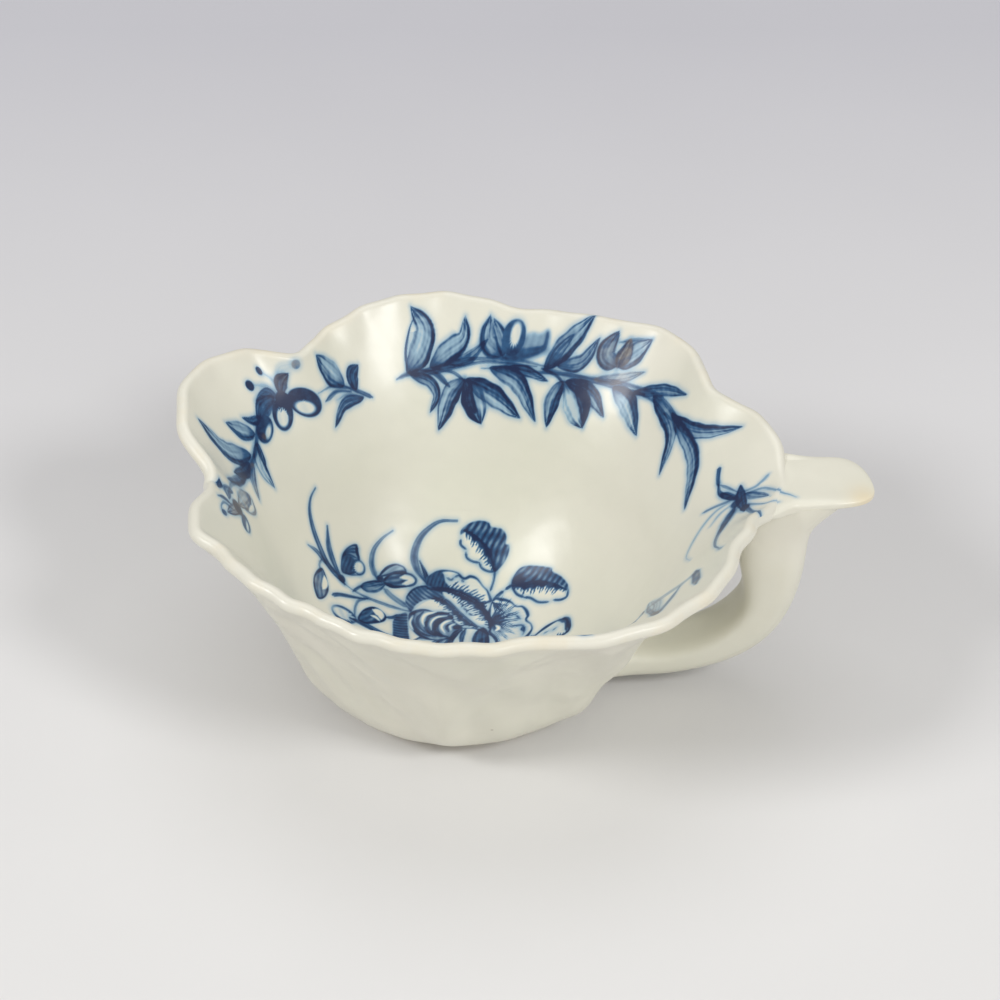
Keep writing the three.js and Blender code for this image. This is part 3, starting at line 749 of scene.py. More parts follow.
def lip_spray(brush):
    """The flower and its leafy stem beside the lip, and the small sprig that points to the garland."""
    brush.stroke([(-15.3, 34.8), (-18.0, 34.9), (-21.8, 34.8)], 0.6, dark=0.8, start=0.1)
    brush.leaf([(-21.0, 34.9), (-24.0, 35.7), (-27.2, 36.9)], 3.3, side=1, dark=0.9, pale=0.36, soft=0.4)
    brush.leaf([(-18.6, 34.9), (-19.5, 36.7), (-18.4, 38.4)], 2.3, side=1, dark=0.94, pale=0.8)
    brush.leaf([(-17.0, 34.4), (-20.6, 32.4), (-21.6, 29.0)], 1.5, side=1, pale=0.7)
    brush.stroke([(-19.6, 34.5), (-22.4, 33.6), (-24.1, 31.7)], 0.7, dark=0.72, start=0.8, end=0.2)
    brush.stroke([(-19.8, 34.8), (-23.2, 34.1), (-25.7, 32.2)], 0.5, dark=0.6)
    brush.stroke([(-18.4, 34.4), (-20.4, 33.8), (-22.2, 32.5)], 0.4, dark=0.45)
    stem = [
        (-32.6, 28.2), (-34.0, 25.6), (-34.8, 22.0), (-34.9, 18.0), (-35.9, 14.0), (-38.0, 9.0),
        (-41.0, 4.4), (-42.6, 0.4)
    ]
    brush.stroke(stem, 0.75, dark=0.6, start=0.05, end=0.15)
    brush.stroke([(-35.2, 22.6), (-35.0, 18.4), (-36.2, 14.2), (-38.6, 9.2)], 0.5, dark=0.5)
    brush.leaf([(-32.8, 28.6), (-34.4, 25.6), (-34.3, 22.6)], 2.5, side=-1, dark=0.86, pale=0.66)
    brush.loop((-33.6, 22.8), (1.5, 2.3), -8, 0.36, dark=0.9, fill=0.15, heavy=180, weight=1.9)
    brush.dot((-33.7, 21.7), 0.5, dark=0.8, umber=0.6)
    brush.leaf([(-34.6, 24.3), (-35.8, 22.8), (-37.7, 22.0)], 1.2, side=1, pale=0.75)
    brush.loop((-30.9, 26.9), (1.95, 2.3), 6, 0.42, dark=0.9, fill=0.12, heavy=100, weight=1.2)
    brush.loop((-27.6, 30.2), (2.9, 1.95), 18, 0.42, dark=0.92, fill=0.1, heavy=112, weight=1.6)
    brush.leaf([(-32.0, 28.7), (-34.0, 28.6), (-35.6, 26.3)], 1.2, side=1, pale=0.72)
    brush.leaf([(-31.6, 29.4), (-31.9, 31.2), (-31.0, 33.0)], 2.1, side=1, dark=0.95, pale=0.85, umber=0.35)
    brush.dot((-31.0, 29.0), 1.5, dark=0.93, squash=0.75)
    brush.fan((-31.0, 29.2), -140, -30, 0.8, 2.4, lines=17, dark=0.9)
    brush.stroke([(-31.6, 30.0), (-33.6, 31.0), (-35.6, 30.9)], 0.5, dark=0.34)
    brush.stroke([(-32.0, 29.4), (-34.6, 29.2), (-36.8, 28.1)], 0.7, dark=0.3)
    brush.stroke([(-31.9, 31.4), (-32.2, 33.2), (-30.6, 34.6)], 1.0, dark=0.2, soft=0.5)
    brush.dot((-35.8, 30.9), 0.7, dark=0.9, squash=0.8)
    brush.dot((-37.0, 27.9), 0.82, dark=0.95, squash=0.85)
    brush.dot((-30.3, 34.5), 0.65, dark=0.6, umber=0.8)
    brush.leaf([(-35.3, 21.0), (-37.8, 19.6), (-40.7, 18.8)], 2.7, side=1, dark=0.9, pale=0.45)
    brush.leaf([(-35.8, 16.8), (-40.8, 13.0), (-46.4, 14.2)], 3.5, side=1, dark=0.92, pale=0.42, soft=0.42)
    brush.leaf([(-34.7, 19.8), (-33.6, 16.4), (-30.7, 14.8)], 2.6, side=1, dark=0.8, pale=0.28)
    brush.stroke([(-34.7, 19.4), (-33.6, 17.6), (-32.6, 16.8)], 0.7, dark=0.9)
    brush.leaf([(-35.3, 15.6), (-35.3, 12.4), (-33.9, 9.4)], 1.5, side=1, dark=0.68, pale=0.55, umber=0.4)
    brush.leaf([(-36.1, 15.0), (-37.2, 12.0), (-39.7, 9.1)], 1.9, side=1, dark=0.95, pale=0.75)
    brush.leaf([(-36.8, 12.2), (-39.2, 7.6), (-42.2, 4.0)], 1.6, side=1, dark=0.84, pale=0.6)
    brush.leaf([(-36.4, 7.6), (-38.0, 4.6), (-40.3, -0.6)], 2.9, side=1, dark=0.92, pale=0.42, umber=0.6)
    brush.bare([(-35.9, 5.8), (-36.4, 4.0), (-37.2, 2.6)], 1.0)
    brush.stroke([(-35.9, 7.4), (-35.2, 5.4), (-36.4, 3.0), (-38.4, 1.0)], 0.55, dark=0.8, umber=0.5)
    brush.leaf([(-40.2, -1.0), (-41.4, -3.4), (-42.4, -5.6)], 1.8, side=1, dark=0.88, pale=0.55, umber=0.5)
    brush.loop((-38.4, -2.9), (1.1, 1.9), 12, 0.34, dark=0.8, fill=0.2, heavy=150, weight=1.2)
    brush.leaf([(-41.6, 1.2), (-43.0, 0.0), (-42.6, -2.4)], 1.7, side=1, dark=0.8, pale=0.6)
    brush.leaf([(-44.6, 1.4), (-44.4, -0.6), (-44.8, -2.6)], 1.0, side=1, dark=0.92, pale=0.85)
    brush.stroke([(-42.2, -3.0), (-43.6, -3.6), (-44.9, -4.8)], 0.7, dark=0.84)
    brush.stroke([(-41.6, -3.6), (-43.4, -4.4), (-43.8, -5.8), (-43.0, -6.6)], 0.45, dark=0.66)
    brush.dot((-42.9, -6.4), 0.6, dark=0.7, umber=0.4)
    brush.dot((-40.6, -1.6), 1.3, dark=0.92, umber=0.5, soft=0.5)


def floor_stems(brush):
    """Blades, buds and curling stems to the left of the rose on the floor."""
    brush.stroke([(-5.8, 7.8), (-9.5, 8.2), (-12.0, 8.3), (-14.5, 8.5), (-16.4, 9.0)], 0.5, dark=0.66)
    brush.stroke(
        [(-15.6, 8.7), (-18.6, 10.1), (-20.2, 11.6), (-22.0, 13.6), (-23.3, 15.8), (-23.6, 17.8),
        (-23.1, 19.6)], 0.95, dark=0.78, start=0.15, end=0.5
    )
    brush.stroke(
        [(-15.9, 9.0), (-17.4, 10.6), (-18.8, 12.6), (-19.7, 15.6)], 1.1, dark=0.8, start=0.5, end=0.45
    )
    brush.stroke(
        [(-17.2, 9.7), (-19.4, 10.3), (-21.0, 10.9), (-22.7, 10.8)], 0.75, dark=0.7, start=0.1, end=0.3
    )
    brush.dot((-16.1, 9.3), 0.6, dark=0.85)
    brush.stroke([(-19.9, 10.3), (-20.2, 9.2), (-19.9, 8.4)], 0.4, dark=0.6, end=0.1)
    brush.area(
        [(-19.6, 8.9), (-18.6, 7.6), (-18.2, 6.0), (-18.8, 4.3), (-19.9, 3.3), (-20.8, 4.6), (-21.0, 6.4),
        (-20.5, 8.0)], dark=0.72, turn=95, spacing=0.8, depth=0.3, outline=0.4
    )
    brush.bare([(-19.1, 7.9), (-18.9, 6.8), (-19.2, 5.6)], 1.0)
    brush.scorch((-20.0, 6.0), 2.0, 0.3)
    top = [
        (-16.1, 10.3), (-16.5, 12.0), (-16.2, 13.5), (-15.3, 14.7), (-14.3, 15.2), (-13.9, 14.3),
        (-13.5, 13.2), (-14.0, 11.2)
    ]
    brush.area(top, dark=0.42, turn=20, spacing=1.1, depth=0.2, outline=0.42)
    for rise in (0.0, 0.75, 1.35):
        arc = [(-16.2, 12.4 + rise * 0.5), (-15.4, 13.3 + rise * 0.6), (-14.0, 13.4 + rise)]
        brush.stroke(arc, 0.34, dark=0.75, end=0.3)
    brush.area(
        [(-16.2, 10.5), (-16.4, 12.4), (-15.6, 13.1), (-14.5, 13.1), (-14.4, 11.8), (-15.0, 10.6)],
        dark=0.86, turn=80, spacing=0.6, depth=0.2
    )
    brush.loop((-13.6, 12.2), (1.05, 1.15), -20, 0.24, dark=0.82, fill=0.12, heavy=190, weight=0.3)
    brush.stroke([(-16.0, 10.4), (-14.6, 10.7), (-13.2, 11.2)], 0.4, dark=0.75)
    brush.stroke(
        [(-12.0, 8.1), (-13.2, 7.2), (-13.7, 5.8), (-13.7, 4.4)], 0.45, dark=0.62, start=0.1, end=0.2
    )
    brush.stroke(
        [(-17.5, 5.7), (-16.2, 6.6), (-14.0, 7.4), (-11.8, 8.1)], 0.62, dark=0.84, start=0.05, end=0.6
    )
    brush.area(
        [(-13.2, 4.1), (-12.6, 5.8), (-11.4, 7.0), (-10.2, 7.2), (-9.2, 6.5), (-9.3, 5.5), (-10.5, 4.6),
        (-12.0, 3.9)], dark=0.84, turn=50, spacing=0.7, depth=0.3, outline=0.36
    )
    brush.bare([(-11.0, 6.7), (-10.0, 6.4), (-9.8, 5.6)], 1.15)
    brush.bare([(-11.3, 5.6), (-10.6, 5.6), (-10.0, 5.2)], 0.4)
    brush.stroke([(-9.2, 6.1), (-8.2, 6.4), (-7.3, 7.1)], 0.5, dark=0.84, end=0.2)
    brush.loop((-15.4, 3.6), (2.1, 1.25), 6, 0.25, dark=0.8, fill=0.2, heavy=-20, weight=0.6)
    brush.stroke([(-14.4, 3.6), (-12.0, 3.6), (-9.0, 3.0), (-6.4, 3.0)], 0.9, dark=0.84)
    brush.stroke([(-14.2, 8.2), (-13.4, 9.2), (-12.6, 9.9)], 0.45, dark=0.78, end=0.2)
    brush.leaf([(-13.0, 9.5), (-11.4, 10.1), (-9.3, 11.3)], 1.7, side=1, dark=0.9, pale=0.6)
    brush.dot((-10.2, 11.7), 0.5, dark=0.92)
    brush.stroke([(-9.5, 10.4), (-8.2, 9.5), (-6.0, 8.4)], 0.75, dark=0.62, start=0.1, end=0.2)
    back = [(-10.3, 12.0), (-9.6, 13.4), (-8.3, 14.1), (-7.1, 13.9), (-6.7, 13.2), (-8.0, 12.8)]
    brush.area(back, dark=0.5, turn=35, spacing=0.7, depth=0.45, outline=0.34)
    front = [
        (-9.8, 11.4), (-9.0, 12.5), (-7.5, 13.1), (-6.2, 13.0), (-5.4, 12.3), (-5.7, 11.6), (-7.0, 11.1),
        (-8.6, 10.8)
    ]
    brush.area(front, dark=0.86, turn=25, spacing=0.75, depth=0.34, outline=0.4, line_dark=0.9)
    brush.bare([(-7.4, 12.4), (-6.2, 12.6), (-5.9, 12.0), (-7.0, 11.6)], 0.95)
    brush.stroke(
        [(-7.0, 13.1), (-5.9, 12.9), (-5.3, 12.3), (-5.6, 11.7), (-6.6, 11.3)],
        0.36, dark=0.84, start=0.1, end=0.2
    )
    brush.stroke(
        [(-10.7, 11.6), (-11.6, 13.2), (-11.6, 15.2), (-10.6, 17.0), (-9.2, 18.3)],
        0.85, dark=0.7, start=0.1, end=0.8
    )
    brush.stroke(
        [(-3.8, 12.0), (-5.2, 13.6), (-5.8, 15.6), (-5.2, 17.8), (-3.8, 19.4), (-2.2, 20.3), (0.0, 20.4)],
        1.1, dark=0.76, start=0.3, end=0.75
    )
    brush.stroke([(-3.7, 12.2), (-4.2, 13.4), (-5.0, 14.9)], 0.6, dark=0.93)


def floor_leaves(brush):
    """The two toothed leaves at the right of the rose: dark and hatched on one side of the rib, bare on
    the other but for a fringe along the rib."""
    brush.stroke([(4.9, 13.8), (4.7, 12.5), (4.2, 11.0)], 0.36, dark=0.75, end=0.1)
    edge = [
        (4.9, 13.6), (5.9, 14.3), (6.8, 15.6), (7.1, 16.8), (6.6, 17.1), (6.8, 18.1), (6.2, 19.1),
        (4.8, 19.5), (4.4, 20.1), (3.2, 20.4), (1.7, 20.1), (0.6, 19.3), (0.5, 18.6)
    ]
    rib = [(1.4, 19.0), (2.8, 18.0), (3.9, 16.6), (4.7, 15.0)]
    brush.area(edge + rib, dark=0.9, turn=62, spacing=0.82, depth=0.42)
    brush.fringe(
        [(4.9, 13.7), (4.6, 15.4), (3.9, 17.0), (2.6, 18.5), (0.9, 19.4)],
        1.8, side=1, dark=0.88, spacing=0.5, slant=0.5, solid=0.5
    )
    brush.stroke([(4.9, 13.7), (4.6, 15.4), (3.9, 17.0), (2.8, 18.2)], 0.5, dark=0.9)
    for wave in (
        [(0.5, 18.0), (0.5, 17.3), (1.2, 16.7)],
        [(1.15, 16.3), (1.3, 15.6), (2.0, 15.1), (2.9, 14.9)],
        [(2.9, 14.9), (3.2, 14.2), (4.0, 13.7), (4.9, 13.6)],
    ):
        brush.stroke(wave, 0.36, dark=0.82, start=0.1, end=0.15)
    brush.stroke([(7.1, 11.5), (6.2, 11.0)], 0.45, dark=0.88, end=0.2)
    brush.stroke([(5.9, 10.8), (5.1, 10.2), (4.5, 9.4)], 0.5, dark=0.86, start=0.1, end=0.1)
    edge = [
        (7.1, 11.3), (7.3, 12.5), (8.2, 13.5), (9.4, 13.7), (11.0, 13.3), (12.9, 12.5), (13.1, 11.9),
        (14.3, 10.8), (15.2, 9.3), (15.1, 8.4)
    ]
    rib = [(14.2, 9.5), (12.6, 10.5), (10.4, 11.0), (8.6, 11.2)]
    brush.area(edge + rib, dark=0.92, turn=38, spacing=0.86, depth=0.4)
    brush.dot((8.0, 11.9), 0.9, dark=0.95, squash=0.8, soft=0.9)
    brush.fringe(
        [(7.1, 11.4), (9.0, 11.2), (11.4, 11.0), (13.4, 10.1), (15.1, 8.6)],
        1.9, side=-1, dark=0.88, spacing=0.5, slant=0.3, solid=0.5
    )
    brush.stroke([(7.1, 11.4), (9.0, 11.3), (11.4, 11.0), (13.4, 10.1)], 0.5, dark=0.93)
    for wave in (
        [(7.1, 11.2), (7.7, 10.1), (8.7, 9.4)],
        [(8.7, 9.4), (9.6, 9.1), (10.7, 8.2), (12.2, 7.75)],
        [(12.9, 7.8), (14.0, 7.4), (14.9, 7.5), (15.2, 8.4)],
    ):
        brush.stroke(wave, 0.4, dark=0.85, start=0.1, end=0.15)
    under = [(15.1, 0.9), (12.5, 0.3), (9.8, -0.3), (8.4, -0.9)]
    brush.area(
        [(9.2, 2.0), (9.9, 2.6), (11.4, 3.8), (13.0, 4.2), (14.7, 3.9), (15.3, 2.5), *under],
        dark=0.1, outline=0.42, line_dark=0.88
    )
    brush.fringe(under, 1.3, side=-1, dark=0.85, spacing=0.5)
    brush.stroke([(13.7, 4.0), (14.8, 3.4), (15.0, 2.2), (14.9, 1.1)], 1.0, dark=0.86, start=0.2, end=0.2)
    brush.stroke([(8.2, 2.6), (9.2, 2.5), (10.0, 2.7)], 0.6, dark=0.92, start=0.1, end=0.1)
    for fleck in ([(11.4, 2.6), (12.1, 2.8)], [(12.7, 2.6), (13.3, 2.9)]):
        brush.stroke(fleck, 0.32, dark=0.6)


def rose(brush):
    """The open rose: cloud-edged outer petals, two long bare petals curling over a heart of dark arcs."""
    for tip, width in (((-7.0, -1.4), 5.4), ((-2.6, -4.2), 5.4), ((3.4, -3.8), 5.6), ((8.2, -0.6), 5.4)):
        brush.petal((0.0, 4.0), tip, width, reach=0.66, lines=19, dark=0.88)

    # Cloud petals at the right, with hairs running out of the dark hollow beside the heart.
    right = [
        (4.4, 9.6), (5.8, 9.8), (6.9, 9.2), (7.6, 8.4), (8.5, 8.2), (9.2, 7.4), (9.4, 6.5), (9.1, 5.9),
        (9.7, 5.0), (9.8, 3.8), (8.6, 2.4), (5.6, 2.2), (3.4, 4.6)
    ]
    brush.area(right, dark=0.12, outline=0.4, line_dark=0.8)
    brush.fan((4.0, 6.4), -70, 68, 0.2, 4.5, lines=41, dark=0.74, solid=0.56)
    brush.fan((4.0, 6.4), -60, 50, 0.2, 2.7, lines=33, dark=0.7, solid=0.7)
    brush.fan((4.4, 9.4), -80, -15, 0.0, 2.4, lines=21, dark=0.86)
    brush.stroke([(6.0, 6.8), (6.8, 7.3), (7.5, 7.0)], 0.32, dark=0.7)
    brush.stroke([(7.6, 6.9), (8.2, 6.2)], 0.36, dark=0.7)
    brush.stroke([(7.0, 5.3), (8.3, 5.2), (8.8, 4.4), (8.5, 3.4)], 0.34, dark=0.75)
    brush.stroke([(8.4, 4.8), (8.6, 4.0)], 0.6, dark=0.8)
    brush.bare([(4.9, 5.7), (5.3, 5.2), (4.9, 4.7)], 0.5)

    # Cloud petal at the top, dark at its left end.
    top = [
        (-3.9, 12.3), (-3.2, 13.4), (-2.1, 13.9), (-0.9, 13.9), (0.2, 13.6), (0.9, 13.0), (1.7, 13.3),
        (2.6, 12.9), (3.3, 11.8), (4.0, 10.9), (4.3, 9.4), (2.0, 9.4), (-1.0, 10.8)
    ]
    brush.area(top, dark=0.06, outline=0.36, line_dark=0.78)
    brush.area(
        [(-4.0, 12.2), (-3.3, 13.3), (-2.3, 13.7), (-1.7, 13.3), (-1.5, 12.4), (-0.9, 11.4), (-2.4, 11.0),
        (-3.5, 11.4)], dark=0.86, turn=70, spacing=0.5, depth=0.2
    )
    brush.fringe(
        [(-1.8, 11.1), (-0.4, 11.0), (1.0, 10.5), (2.4, 9.6), (3.6, 8.6)],
        1.7, side=1, dark=0.84, spacing=0.42, slant=-0.5, solid=0.36
    )
    for squiggle in (
        [(-1.3, 12.9), (-0.8, 12.6), (-0.4, 12.9)],
        [(-0.3, 13.0), (0.2, 13.2), (0.6, 12.9)],
        [(0.6, 12.6), (0.9, 12.3)],
    ):
        brush.stroke(squiggle, 0.34, dark=0.7, end=0.3)

    # Hatched petal at the upper left, then the long petal under the great arc.
    left = [
        (-6.5, 8.9), (-6.4, 10.0), (-5.7, 11.0), (-4.6, 11.6), (-3.2, 11.6), (-1.6, 11.0), (-1.2, 10.2),
        (-2.8, 9.9), (-4.2, 9.6), (-5.2, 8.8), (-5.8, 7.8)
    ]
    brush.area(left, dark=0.84, turn=-38, spacing=0.5, depth=0.42)
    brush.stroke([(-6.4, 9.9), (-5.7, 10.9), (-4.6, 11.5), (-3.6, 11.5)], 0.3, dark=0.9)
    long = [
        (-1.7, 11.0), (-0.3, 10.9), (1.2, 10.3), (2.8, 9.1), (3.9, 7.5), (4.3, 5.9), (4.1, 4.6), (3.0, 5.0),
        (1.8, 6.2), (0.6, 7.7), (-0.6, 9.4), (-1.6, 10.3)
    ]
    brush.area(long, dark=0.05)
    brush.fringe(
        [(-1.2, 11.1), (0.6, 10.6), (2.1, 9.7), (3.3, 8.4), (4.1, 6.9), (4.3, 5.2)],
        1.9, side=-1, dark=0.88, spacing=0.44, slant=0.5, solid=0.45, taper=0.3
    )
    brush.stroke(
        [(-3.8, 11.3), (-2.0, 11.25), (-0.6, 11.0), (0.8, 10.5), (2.1, 9.7), (3.2, 8.5), (4.0, 7.1),
        (4.3, 5.6), (4.1, 4.4)], 0.62, dark=0.95, start=0.1, end=0.2
    )
    for squiggle in (
        [(0.4, 9.4), (0.7, 9.1), (0.6, 8.8)],
        [(0.8, 8.6), (1.2, 8.3), (1.2, 7.9)],
        [(1.5, 7.8), (1.9, 7.5)],
    ):
        brush.stroke(squiggle, 0.32, dark=0.75, end=0.3)

    # Inner petal: bare, with a dark hatched band along its upper edge.
    inner = [
        (-5.6, 7.6), (-4.8, 8.7), (-3.6, 9.6), (-2.4, 9.9), (-1.2, 9.6), (-0.3, 8.6), (0.8, 7.1),
        (2.2, 5.9), (3.3, 5.0), (1.4, 4.6), (-0.2, 5.4), (-2.6, 7.6)
    ]
    brush.area(inner, dark=0.05)
    brush.fringe(
        [(-3.3, 10.0), (-1.9, 9.9), (-0.8, 9.1), (0.2, 7.9), (1.3, 6.6), (2.7, 5.5)],
        1.35, side=-1, dark=0.86, spacing=0.42, slant=0.6, solid=0.6, taper=0.2
    )
    brush.stroke(
        [(-2.6, 10.1), (-1.4, 9.8), (-0.5, 9.0), (0.4, 7.9), (1.4, 6.8), (2.6, 5.7), (3.6, 5.2)],
        0.42, dark=0.85, end=0.4
    )
    heart = [
        (-5.9, 7.6), (-4.9, 8.2), (-3.8, 8.3), (-2.6, 7.9), (-1.4, 7.9), (-0.6, 7.4), (-0.2, 6.4),
        (0.7, 5.5), (0.4, 4.4), (-0.6, 3.4), (-3.0, 3.0), (-4.8, 3.8), (-5.8, 5.2), (-6.1, 6.6)
    ]
    brush.area(heart, dark=0.5, turn=100, spacing=0.9, depth=0.3, outline=0.4, line_dark=0.78)
    arcs = (
        ([(-5.2, 7.8), (-5.6, 6.6), (-5.2, 5.2), (-4.2, 4.2), (-3.0, 3.8)], 0.5, 0.84),
        ([(-4.2, 7.9), (-4.9, 6.8), (-4.8, 5.6), (-4.0, 4.6)], 0.45, 0.8),
        ([(-1.0, 7.8), (-2.4, 7.7), (-3.5, 7.1), (-3.8, 6.1)], 0.55, 0.95),
        ([(-3.5, 6.8), (-3.9, 5.8), (-3.5, 4.6), (-2.6, 3.8)], 0.6, 0.9),
        ([(-0.6, 7.2), (-1.9, 6.9), (-2.7, 6.1), (-2.8, 5.0), (-2.2, 4.1), (-1.2, 3.7)], 1.15, 0.98),
        ([(-0.6, 6.1), (-1.2, 5.6), (-1.0, 4.7)], 0.45, 0.93),
        ([(0.6, 5.2), (-0.2, 4.4), (-0.8, 3.2)], 0.6, 0.85),
    )
    for arc, width, dark in arcs:
        brush.stroke(arc, width, dark=dark, start=0.3, end=0.4)
    brush.bare([(-2.6, 7.95), (-3.9, 7.5), (-4.3, 6.6), (-4.1, 5.6)], 0.42)
    brush.bare([(-1.2, 7.4), (-2.5, 7.1), (-3.2, 6.2), (-3.2, 5.0)], 0.3)
    brush.bare([(-0.6, 6.7), (-1.5, 6.3), (-1.9, 5.5), (-1.5, 4.5)], 0.36)
    brush.bare([(-0.2, 6.1), (-0.8, 5.7), (-0.7, 5.0)], 0.3)
    brush.bare([(-5.5, 7.2), (-5.9, 6.0), (-5.5, 4.8)], 0.3)
    brush.dot((0.0, 5.5), 0.5, dark=0.98, squash=0.8)

    # Petals that fall toward the front from the heart.
    brush.area(
        [(0.6, 5.2), (2.0, 5.4), (3.2, 5.1), (4.0, 4.5), (5.2, 3.0), (4.6, 0.8), (1.6, 0.2), (-0.6, 2.0),
        (-0.2, 3.8)], dark=0.05, outline=0.3
    )
    brush.leaf([(3.3, 5.4), (3.1, 3.4), (3.2, 0.6)], 2.1, side=1, dark=0.95, pale=0.8)
    brush.stroke([(1.1, 5.2), (0.7, 3.8), (0.6, 1.6)], 0.7, dark=0.88)
    brush.stroke([(0.3, 4.6), (-0.4, 3.4), (-0.6, 2.0)], 0.5, dark=0.8)
    brush.stroke([(4.2, 4.6), (5.0, 3.2), (5.2, 1.8)], 0.5, dark=0.9)
    side = [
        (-6.3, 7.5), (-7.3, 7.1), (-8.1, 6.0), (-8.2, 4.4), (-8.0, 2.8), (-6.2, 2.6), (-6.1, 4.4),
        (-6.2, 6.0)
    ]
    brush.area(side, dark=0.9, turn=4, spacing=0.46, depth=0.26)


def floor_bouquet(brush):
    """The rose on the floor with its two leaves, buds, blades and curling stems."""
    brush.leaf([(-6.0, 1.2), (-9.4, -1.2), (-13.6, -1.4)], 2.6, side=1, pale=0.35)
    brush.leaf([(8.6, -0.6), (11.6, -2.8), (14.2, -2.6)], 2.4, side=-1, pale=0.35)
    floor_stems(brush)
    floor_leaves(brush)
    rose(brush)


def insect(brush):
    """The spidery insect on the wall before the thumb rest."""
    brush.stroke([(40.3, 2.2), (42.4, 1.6), (44.6, 0.8)], 0.6, dark=0.62, start=0.1, end=0.1)
    brush.stroke(
        [(44.6, 0.4), (42.4, 0.2), (40.2, -1.6), (38.4, -4.6), (37.7, -8.0), (38.8, -11.8)],
        0.5, dark=0.42, start=0.1, end=0.6
    )
    brush.stroke([(44.6, -0.6), (43.0, -1.4), (41.6, -3.4)], 0.5, dark=0.4)
    brush.stroke(
        [(45.4, -2.0), (44.0, -6.0), (43.3, -10.5), (43.4, -14.6), (44.1, -17.2)],
        1.0, dark=0.72, start=0.1, end=0.7
    )
    brush.stroke([(44.1, -17.4), (44.5, -18.1), (44.9, -18.1)], 0.55, dark=0.5, start=0.1, end=0.2)
    brush.leaf([(45.4, -1.6), (44.2, -5.0), (43.7, -9.0)], 1.3, side=1, dark=0.72, pale=0.5)
    brush.stroke([(45.8, -2.4), (44.9, -5.0), (43.8, -7.4)], 0.5, dark=0.4)
    brush.stroke([(43.6, 9.6), (43.2, 7.8), (43.1, 6.0)], 0.7, dark=0.82, start=0.05, end=0.2)
    brush.stroke([(43.1, 6.4), (43.2, 4.2), (44.6, 1.8), (45.6, 0.2)], 0.9, dark=0.8, start=0.5, end=0.2)
    brush.stroke([(43.4, 6.0), (44.6, 4.2), (45.9, 2.0)], 0.5, dark=0.62)
    brush.stroke([(46.4, 1.6), (48.2, 1.5), (49.4, 2.3), (50.3, 3.2)], 0.55, dark=0.5, start=0.1, end=0.1)
    brush.stroke(
        [(46.8, 0.8), (49.3, 0.3), (50.4, -0.8), (51.6, -2.3), (52.8, -2.9), (53.9, -3.7)],
        0.5, dark=0.5, start=0.1, end=0.3
    )
    brush.leaf([(43.3, 4.1), (44.5, 2.2), (46.0, 0.2)], 1.2, side=-1, dark=0.86, pale=0.66)
    brush.leaf([(46.8, 0.9), (48.2, -0.9), (50.2, -3.1)], 1.7, side=1, dark=0.72, pale=0.56)
    brush.stroke([(47.2, -2.6), (48.6, -4.4), (50.2, -5.6), (51.8, -4.9)], 0.5, dark=0.55)
    brush.stroke(
        [(47.0, -3.4), (48.1, -6.9), (49.4, -9.8), (50.4, -11.4)], 0.75, dark=0.72, start=0.1, end=0.3
    )
    brush.leaf([(46.3, 3.5), (46.2, 0.0), (46.9, -5.2)], 1.45, side=1, dark=0.94, pale=0.82)
    brush.dot((46.9, -3.7), 0.72, dark=0.93, squash=1.3, soft=0.4)
    brush.dot((45.5, -0.9), 0.8, dark=0.8, squash=1.4, soft=0.6)


def near_garland(brush):
    """The garland on the near wall: the far one mirrored and moved round toward the handle, but for
    its end by the handle, which shows in the photo as one long leaf and a blot."""
    far_garland(brush.mirrored(-19, 0.9))
    brush.bare([(33.5, -8.0), (36.5, -20.0), (35.5, -30.0), (34.0, -42.0)], 13.0)
    brush.stroke(
        [(30.6, -13.0), (30.9, -17.0), (31.5, -23.0), (32.1, -28.0), (32.6, -32.6)],
        0.95, dark=0.78, start=0.5, end=0.1, soft=0.5
    )
    brush.stroke(
        [(37.2, -21.6), (35.2, -26.0), (33.9, -29.4), (33.0, -32.8)],
        0.85, dark=0.72, start=0.3, end=0.1, soft=0.5
    )
    brush.leaf(
        [(32.8, -32.4), (32.9, -27.0), (33.0, -21.0), (31.2, -14.0)],
        1.5, side=1, dark=0.6, pale=0.35, soft=0.6, umber=0.25
    )
    brush.dot((32.6, -31.0), 0.85, dark=0.72, umber=0.3, soft=0.6, squash=1.8)
    brush.stroke([(19.4, -43.2), (21.0, -43.8), (22.4, -43.6)], 0.8, dark=0.74, umber=0.3)
    brush.stroke([(24.2, -41.4), (25.6, -39.9), (26.8, -38.6)], 0.34, dark=0.5)
    brush.stroke(
        [(31.0, -17.6), (34.0, -20.0), (37.0, -21.0), (40.2, -20.4)], 1.9, dark=0.46, soft=0.9, umber=0.4
    )
    brush.stroke(
        [(40.1, -19.6), (40.0, -22.6), (39.7, -25.6)],
        1.5, dark=0.76, start=0.1, end=0.3, soft=0.6, umber=0.5
    )


